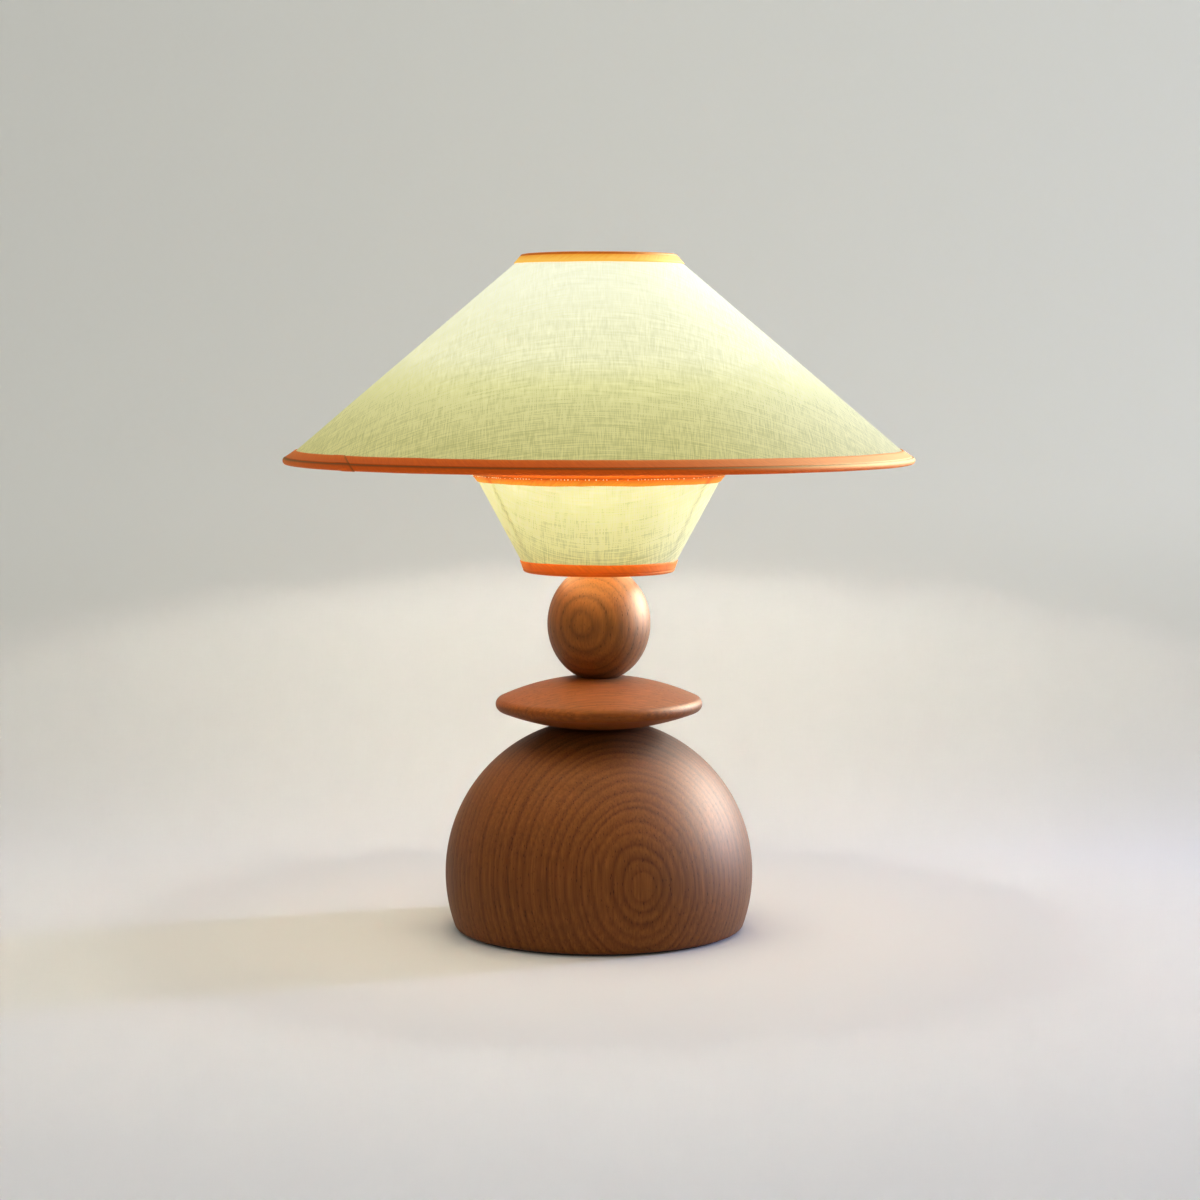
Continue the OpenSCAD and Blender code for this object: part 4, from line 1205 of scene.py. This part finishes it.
@dataclass
class SewnRow:
    """A row of stitches, or of glowing beads for needle holes, around the stem, laid out with Geometry
    Nodes.
    """

    ring_points: int = 256
    bead_r: float = 0.5
    bead_detail: int = 2
    smallest: float = 0.65
    largest: float = 1.15
    tree: bpy.types.NodeTree = field(init=False)

    def __post_init__(self) -> None:
        """Builds the node tree: beads along a circle, some left out, stretched along their run."""
        inputs = {
            "Ring Radius": "Float", "Ring Height": "Float", "Count": "Int", "Length": "Float",
            "Thickness": "Float", "Kept Share": "Float", "Seed": "Int", "Finish": "Material",
        }
        tree = geometry_tree("sewn_row", inputs, "Row")
        add = partial(add_node, tree)
        given = add("NodeGroupInput").outputs
        ring = add(
            "GeometryNodeCurvePrimitiveCircle",
            {"Resolution": self.ring_points, "Radius": given["Ring Radius"]}, mode="RADIUS",
        )
        points = add("GeometryNodeCurveToPoints", {"Curve": ring, "Count": given["Count"]}, mode="COUNT")
        kept = add(
            "FunctionNodeRandomValue", {"Probability": given["Kept Share"], "Seed": given["Seed"]},
            data_type="BOOLEAN",
        )
        uneven = add(
            "FunctionNodeRandomValue", {2: self.smallest, 3: self.largest, "Seed": given["Seed"]},
            data_type="FLOAT",
        )
        size = add(
            "ShaderNodeCombineXYZ", {0: given["Thickness"], 1: given["Thickness"], 2: given["Length"]}
        )
        sized = add("ShaderNodeVectorMath", {0: size, "Scale": uneven}, operation="SCALE")
        bead = add("GeometryNodeMeshIcoSphere", {"Radius": self.bead_r, "Subdivisions": self.bead_detail})
        row = add(
            "GeometryNodeInstanceOnPoints",
            {"Points": points, "Selection": kept, "Instance": bead,
             "Rotation": points.outputs["Rotation"], "Scale": sized},
        )
        level = add("ShaderNodeCombineXYZ", {2: given["Ring Height"]})
        raised = add(
            "GeometryNodeTranslateInstances",
            {"Instances": row, "Translation": level, "Local Space": False},
        )
        solid = add("GeometryNodeRealizeInstances", {"Geometry": raised})
        smooth = add("GeometryNodeSetShadeSmooth", {"Geometry": solid})
        dressed = add("GeometryNodeSetMaterial", {"Geometry": smooth, "Material": given["Finish"]})
        add("NodeGroupOutput", {"Row": dressed})
        self.tree = tree

    def sew(
        self, name: str, ring: Point2, pitch: float, length: float, thickness: float, kept: float,
        seed: int, finish: Finish,
    ) -> bpy.types.Object:
        """Lays one row.

        Args:
            name: The piece's name.
            ring: Radius and height of the row.
            pitch: Distance from one bead to the next.
            length: Length of a bead along the row.
            thickness: Its thickness.
            kept: Share of the beads that show.
            seed: Seed for which of them show and how large they are.
            finish: What they are made of.

        Returns:
            The row as a plain mesh.
        """
        made = plain_object(name, bpy.data.meshes.new(name), finish)
        run_tree(made, self.tree, {
            "Ring Radius": ring[0] * MM, "Ring Height": ring[1] * MM,
            "Count": round(TURN * ring[0] / pitch), "Length": length * MM, "Thickness": thickness * MM,
            "Kept Share": kept, "Seed": seed, "Finish": finish.material(),
        })
        return made


@dataclass
class TwoTierShade:
    """The hat and the cup: cloth on film, folded tapes on all four edges and their sewing."""

    hat_foot: Point2 = (173.3, 264.41)
    hat_head: Point2 = (42.0, 375.81)
    cup_foot: Point2 = (40.6, 203.61)
    cup_head: Point2 = (69.4, 257.31)
    rim_tape_w: float = 7.4
    top_tape_w: float = 6.0
    cup_bottom_tape_w: float = 5.6
    cup_top_tape_w: float = 5.2
    rim_seam_degrees: float = -50.2
    rim_slant_degrees: float = -0.58
    strut_turns: tuple[float, ...] = (math.pi, -math.pi / 3, math.pi / 3)
    cup_passed: float = 0.435
    cup_turns: int = 480
    hat_cut: Point2 = (0.455, 0.394)
    cup_cut: Point2 = (0.293, 0.139)
    # Distance of each row from its wire into the wall and out of it
    stitch_place: Point2 = (0.72, 1.4)
    hole_place: Point2 = (0.8, 1.66)

    def hang(self, tier: str, cloth: ClothSheet) -> bpy.types.Object:
        """Builds one tier's cloth and ties it to the shade.

        Args:
            tier: The tier's name.
            cloth: Its cloth.

        Returns:
            The cloth's object.
        """
        sheet = place_in_frame(
            cloth.build(f"{tier}_woven_cloth"), Body.SHADE, "shade_cloth", f"{tier}_cloth"
        )
        return sheet

    def build(self) -> None:
        """Builds cloth, tapes and sewing and ties them to the shade."""
        hat = ConeWall(self.hat_foot, self.hat_head)
        cup = ConeWall(self.cup_foot, self.cup_head, self.strut_turns, self.cup_passed)
        self.hang("hat", ClothSheet(hat))
        cup_sheet = self.hang("cup", ClothSheet(cup, turns=self.cup_turns))
        tapes = {
            "hat_rim": FoldedTape(
                hat, Edge.FOOT, self.rim_tape_w, crease=0.35, lit=0.5, seed=1.0,
                seam_turn=math.radians(self.rim_seam_degrees), slant=math.radians(self.rim_slant_degrees),
            ),
            "hat_top": FoldedTape(
                hat, Edge.HEAD, self.top_tape_w, crease=0.25, lit=0.49, seed=3.0, ripple=0.5
            ),
            "cup_bottom": FoldedTape(
                cup, Edge.FOOT, self.cup_bottom_tape_w, crease=0.06, lit=0.88, seed=5.0, ripple=0.3
            ),
            "cup_top": FoldedTape(
                cup, Edge.HEAD, self.cup_top_tape_w, crease=0.1, lit=0.9, seed=7.0, ripple=0.45
            ),
        }
        folded = {
            edge: place_in_frame(tape.build(f"{edge}_folded_tape"), Body.SHADE, "edge_tape", f"{edge}_tape")
            for edge, tape in tapes.items()
        }
        # The thin cup lets the bulb's light through to the floor
        cup_lining = frame["nodes"]["cup_lining"]
        for piece in (cup_sheet, cup_lining, folded["cup_bottom"], folded["cup_top"]):
            piece.visible_shadow = False
        sewing = SewnRow()
        stitch_in, stitch_out = self.stitch_place
        hole_in, hole_out = self.hole_place
        rows = (
            sewing.sew(
                "hat_rim_stitches", hat.level(stitch_in, stitch_out), pitch=3.0, length=2.2, thickness=0.4,
                kept=1.0, seed=11, finish=THREAD,
            ),
            # Glowing beads: painted light of the bulb coming through the needle holes
            sewing.sew(
                "cup_top_needle_hole_glow", cup.level(cup.length - hole_in, hole_out), pitch=1.9, length=0.6,
                thickness=0.5, kept=0.6, seed=23, finish=SPARK,
            ),
        )
        for row in rows:
            place_in_frame(row, Body.SHADE, "edge_tape")


@dataclass
class Fittings:
    """The frame's own nodes, which keep their shape and take their finish from the record's slots."""

    finishes: dict[str, Finish] = field(default_factory=lambda: FINISHES)

    def dress(self) -> None:
        """Gives every node that the frame shows the finish of its slot."""
        for part in frame["record"]["subparts"]:
            finish = self.finishes.get(part["material_slot"])
            if finish is None:
                continue
            for slot in frame["nodes"][part["node"]].material_slots:
                slot.material = finish.material()
            LOG.info("%s: dressed as %s", part["node"], finish.name)


@dataclass
class Studio:
    """Camera, soft light, pale floor and backdrop."""

    camera_back: float = 1549.87
    camera_height: float = 320.48
    camera_aside: float = 0.6
    pitch_degrees: float = 4.975
    lens: float = 83.35
    sensor_width: float = 36.0
    wall_y: float = 470.0
    cove_r: float = 240.0
    half_width: float = 3000.0
    front_y: float = -4000.0
    wall_top: float = 3000.0
    floor_colour: str = "#ecebe4"
    # Painted light on the wall: its strength, where it starts, and its shares on the left and right
    wall_glow: float = 0.21
    wall_light_colour: str = "#f4f8f6"
    glow_z: float = 20.0
    glow_x: float = 500.0
    glow_sides: Point2 = (0.5, 1.1)
    sky_colour: str = "#f5f6f4"
    sky_strength: float = 0.465
    sky_slope: float = 0.28
    sky_axis: Point3 = (0.35, 0.35, 0.87)
    # Both windows face the lamp's middle
    aim_z: float = 180.0
    window_far: float = 2200.0
    key_turn_degrees: float = 20.0
    key_rise_degrees: float = 7.0
    key_size: Point2 = (280.0, 520.0)
    key_colour: str = "#aab6ff"
    key_watts: float = 40.0
    strip_turn_degrees: float = 26.0
    strip_rise_degrees: float = 21.0
    strip_size: Point2 = (1600.0, 1100.0)
    strip_colour: str = "#fff0e2"
    strip_watts: float = 370.0
    mouth_z: float = 206.0
    mouth_size: Point2 = (72.0, 72.0)
    mouth_colour: str = "#f2e09c"
    mouth_watts: float = 0.037

    def camera(self) -> None:
        """Stands the camera where the photograph was taken from."""
        eye = bpy.data.cameras.new("camera")
        eye.lens, eye.sensor_width = self.lens, self.sensor_width
        made = new_object("camera", eye)
        made.location = (self.camera_aside * MM, -self.camera_back * MM, self.camera_height * MM)
        made.rotation_euler = (math.radians(90 - self.pitch_degrees), 0, 0)
        bpy.context.scene.camera = made

    def paper(self) -> bpy.types.Material:
        """Makes pale matte paper that is clear from behind, with painted light that grows where it climbs.

        Returns:
            The paper's material.
        """
        made = bpy.data.materials.new("pale_paper")
        made.use_nodes = True
        tree, shader = made.node_tree, made.node_tree.nodes["Principled BSDF"]
        add = partial(add_node, tree)
        spot = add("ShaderNodeTexCoord").outputs["Object"]
        place = add("ShaderNodeSeparateXYZ", {0: spot}).outputs
        # Painted light on the wall: brighter where it climbs and towards the right
        climb = add(
            "ShaderNodeMapRange",
            {"Value": place["Z"], "From Min": self.glow_z * MM, "From Max": self.cove_r * MM},
            interpolation_type="SMOOTHSTEP",
        )
        aside = add(
            "ShaderNodeMapRange",
            {"Value": place["X"], "From Min": -self.glow_x * MM, "From Max": self.glow_x * MM,
             "To Min": self.glow_sides[0], "To Max": self.glow_sides[1]},
        )
        wash = add("ShaderNodeMath", {0: climb, 1: aside}, operation="MULTIPLY")
        lit = add("ShaderNodeMath", {0: wash, 1: self.wall_glow}, operation="MULTIPLY")
        feed(shader, {
            "Base Color": linear(self.floor_colour), "Roughness": 0.9, "Specular IOR Level": 0.0,
            "Emission Color": linear(self.wall_light_colour), "Emission Strength": lit,
        })
        behind = add("ShaderNodeNewGeometry").outputs["Backfacing"]
        clear = add("ShaderNodeBsdfTransparent")
        seen = add("ShaderNodeMixShader", {0: behind, 1: shader, 2: clear})
        feed(tree.nodes["Material Output"], {"Surface": seen})
        return made

    def backdrop(self) -> None:
        """Sweeps a pale paper floor up into a wall."""
        cove = arc((self.wall_y - self.cove_r, self.cove_r), self.cove_r, -90, 0, steps=24)
        profile = [(self.front_y, 0.0), *cove, (self.wall_y, self.wall_top)]
        sides = (-self.half_width, self.half_width)
        spots = [(x * MM, y * MM, z * MM) for x in sides for y, z in profile]
        count = len(profile)
        faces = [(i, count + i, count + i + 1, i + 1) for i in range(count - 1)]
        mesh = bpy.data.meshes.new("backdrop")
        mesh.from_pydata(spots, [], faces)
        mesh.shade_smooth()
        mesh.materials.append(self.paper())
        made = new_object("backdrop", mesh)
        made.visible_shadow = False

    def sky(self) -> None:
        """Hangs a soft sky that is brighter above and behind."""
        world = bpy.data.worlds.new("studio")
        world.use_nodes = True
        tree = world.node_tree
        add = partial(add_node, tree)
        facing = add("ShaderNodeTexCoord").outputs["Generated"]
        lean = add("ShaderNodeVectorMath", {0: facing, 1: self.sky_axis}, operation="DOT_PRODUCT")
        slope = add(
            "ShaderNodeMath", {0: lean, 1: self.sky_slope, 2: self.sky_strength},
            operation="MULTIPLY_ADD",
        )
        feed(tree.nodes["Background"], {"Color": linear(self.sky_colour), "Strength": slope})
        bpy.context.scene.world = world

    def soft_light(
        self, name: str, shape: str, size: Point2, colour: str, watts: float
    ) -> bpy.types.Object:
        """Makes a soft light that the camera doesn't see.

        Args:
            name: The light's name.
            shape: Blender's name of its outline.
            size: Its width and height.
            colour: Its colour.
            watts: Its power.

        Returns:
            The light's object, at the origin and facing down.
        """
        made = bpy.data.lights.new(name, "AREA")
        made.shape, made.energy, made.color = shape, watts, linear(colour)[:3]
        made.size, made.size_y = size[0] * MM, size[1] * MM
        placed = new_object(name, made)
        placed.visible_camera = False
        return placed

    def stand_aside(self, window: bpy.types.Object, turn_degrees: float, rise_degrees: float) -> None:
        """Stands a window to the right of the lamp and a little behind it, facing it.

        Args:
            window: The window's light.
            turn_degrees: How far behind the lamp's right side it stands.
            rise_degrees: How high it stands, seen from the lamp.
        """
        turn, rise = math.radians(turn_degrees), math.radians(rise_degrees)
        level = math.cos(rise)
        away = Vector((level * math.cos(turn), level * math.sin(turn), math.sin(rise)))
        window.location = Vector((0, 0, self.aim_z * MM)) + away * self.window_far * MM
        window.rotation_euler = away.to_track_quat("Z", "Y").to_euler()

    def light(self) -> None:
        """Sets the lights.

        A tall window stands on the right, and a wider one shows only as a reflection in the lacquer.
        A small light under the shade's mouth stands for what the cup throws down on the stem.
        """
        self.sky()
        key = self.soft_light("key", "ELLIPSE", self.key_size, self.key_colour, self.key_watts)
        self.stand_aside(key, self.key_turn_degrees, self.key_rise_degrees)
        strip = self.soft_light("strip", "ELLIPSE", self.strip_size, self.strip_colour, self.strip_watts)
        self.stand_aside(strip, self.strip_turn_degrees, self.strip_rise_degrees)
        strip.visible_diffuse = False
        mouth = self.soft_light("mouth", "DISK", self.mouth_size, self.mouth_colour, self.mouth_watts)
        mouth.location = (0, 0, self.mouth_z * MM)

    def build(self) -> None:
        """Sets up the whole studio."""
        self.camera()
        self.backdrop()
        self.light()
        bpy.context.scene.view_settings.view_transform = "Standard"


def main() -> None:
    """Builds the lamp's sub-assemblies in order and reports each piece."""
    logging.basicConfig(level=logging.INFO, format="%(message)s")
    Studio().build()
    Fittings().dress()
    TurnedStem().build()
    TwoTierShade().build()


if __name__ == "__main__":
    main()
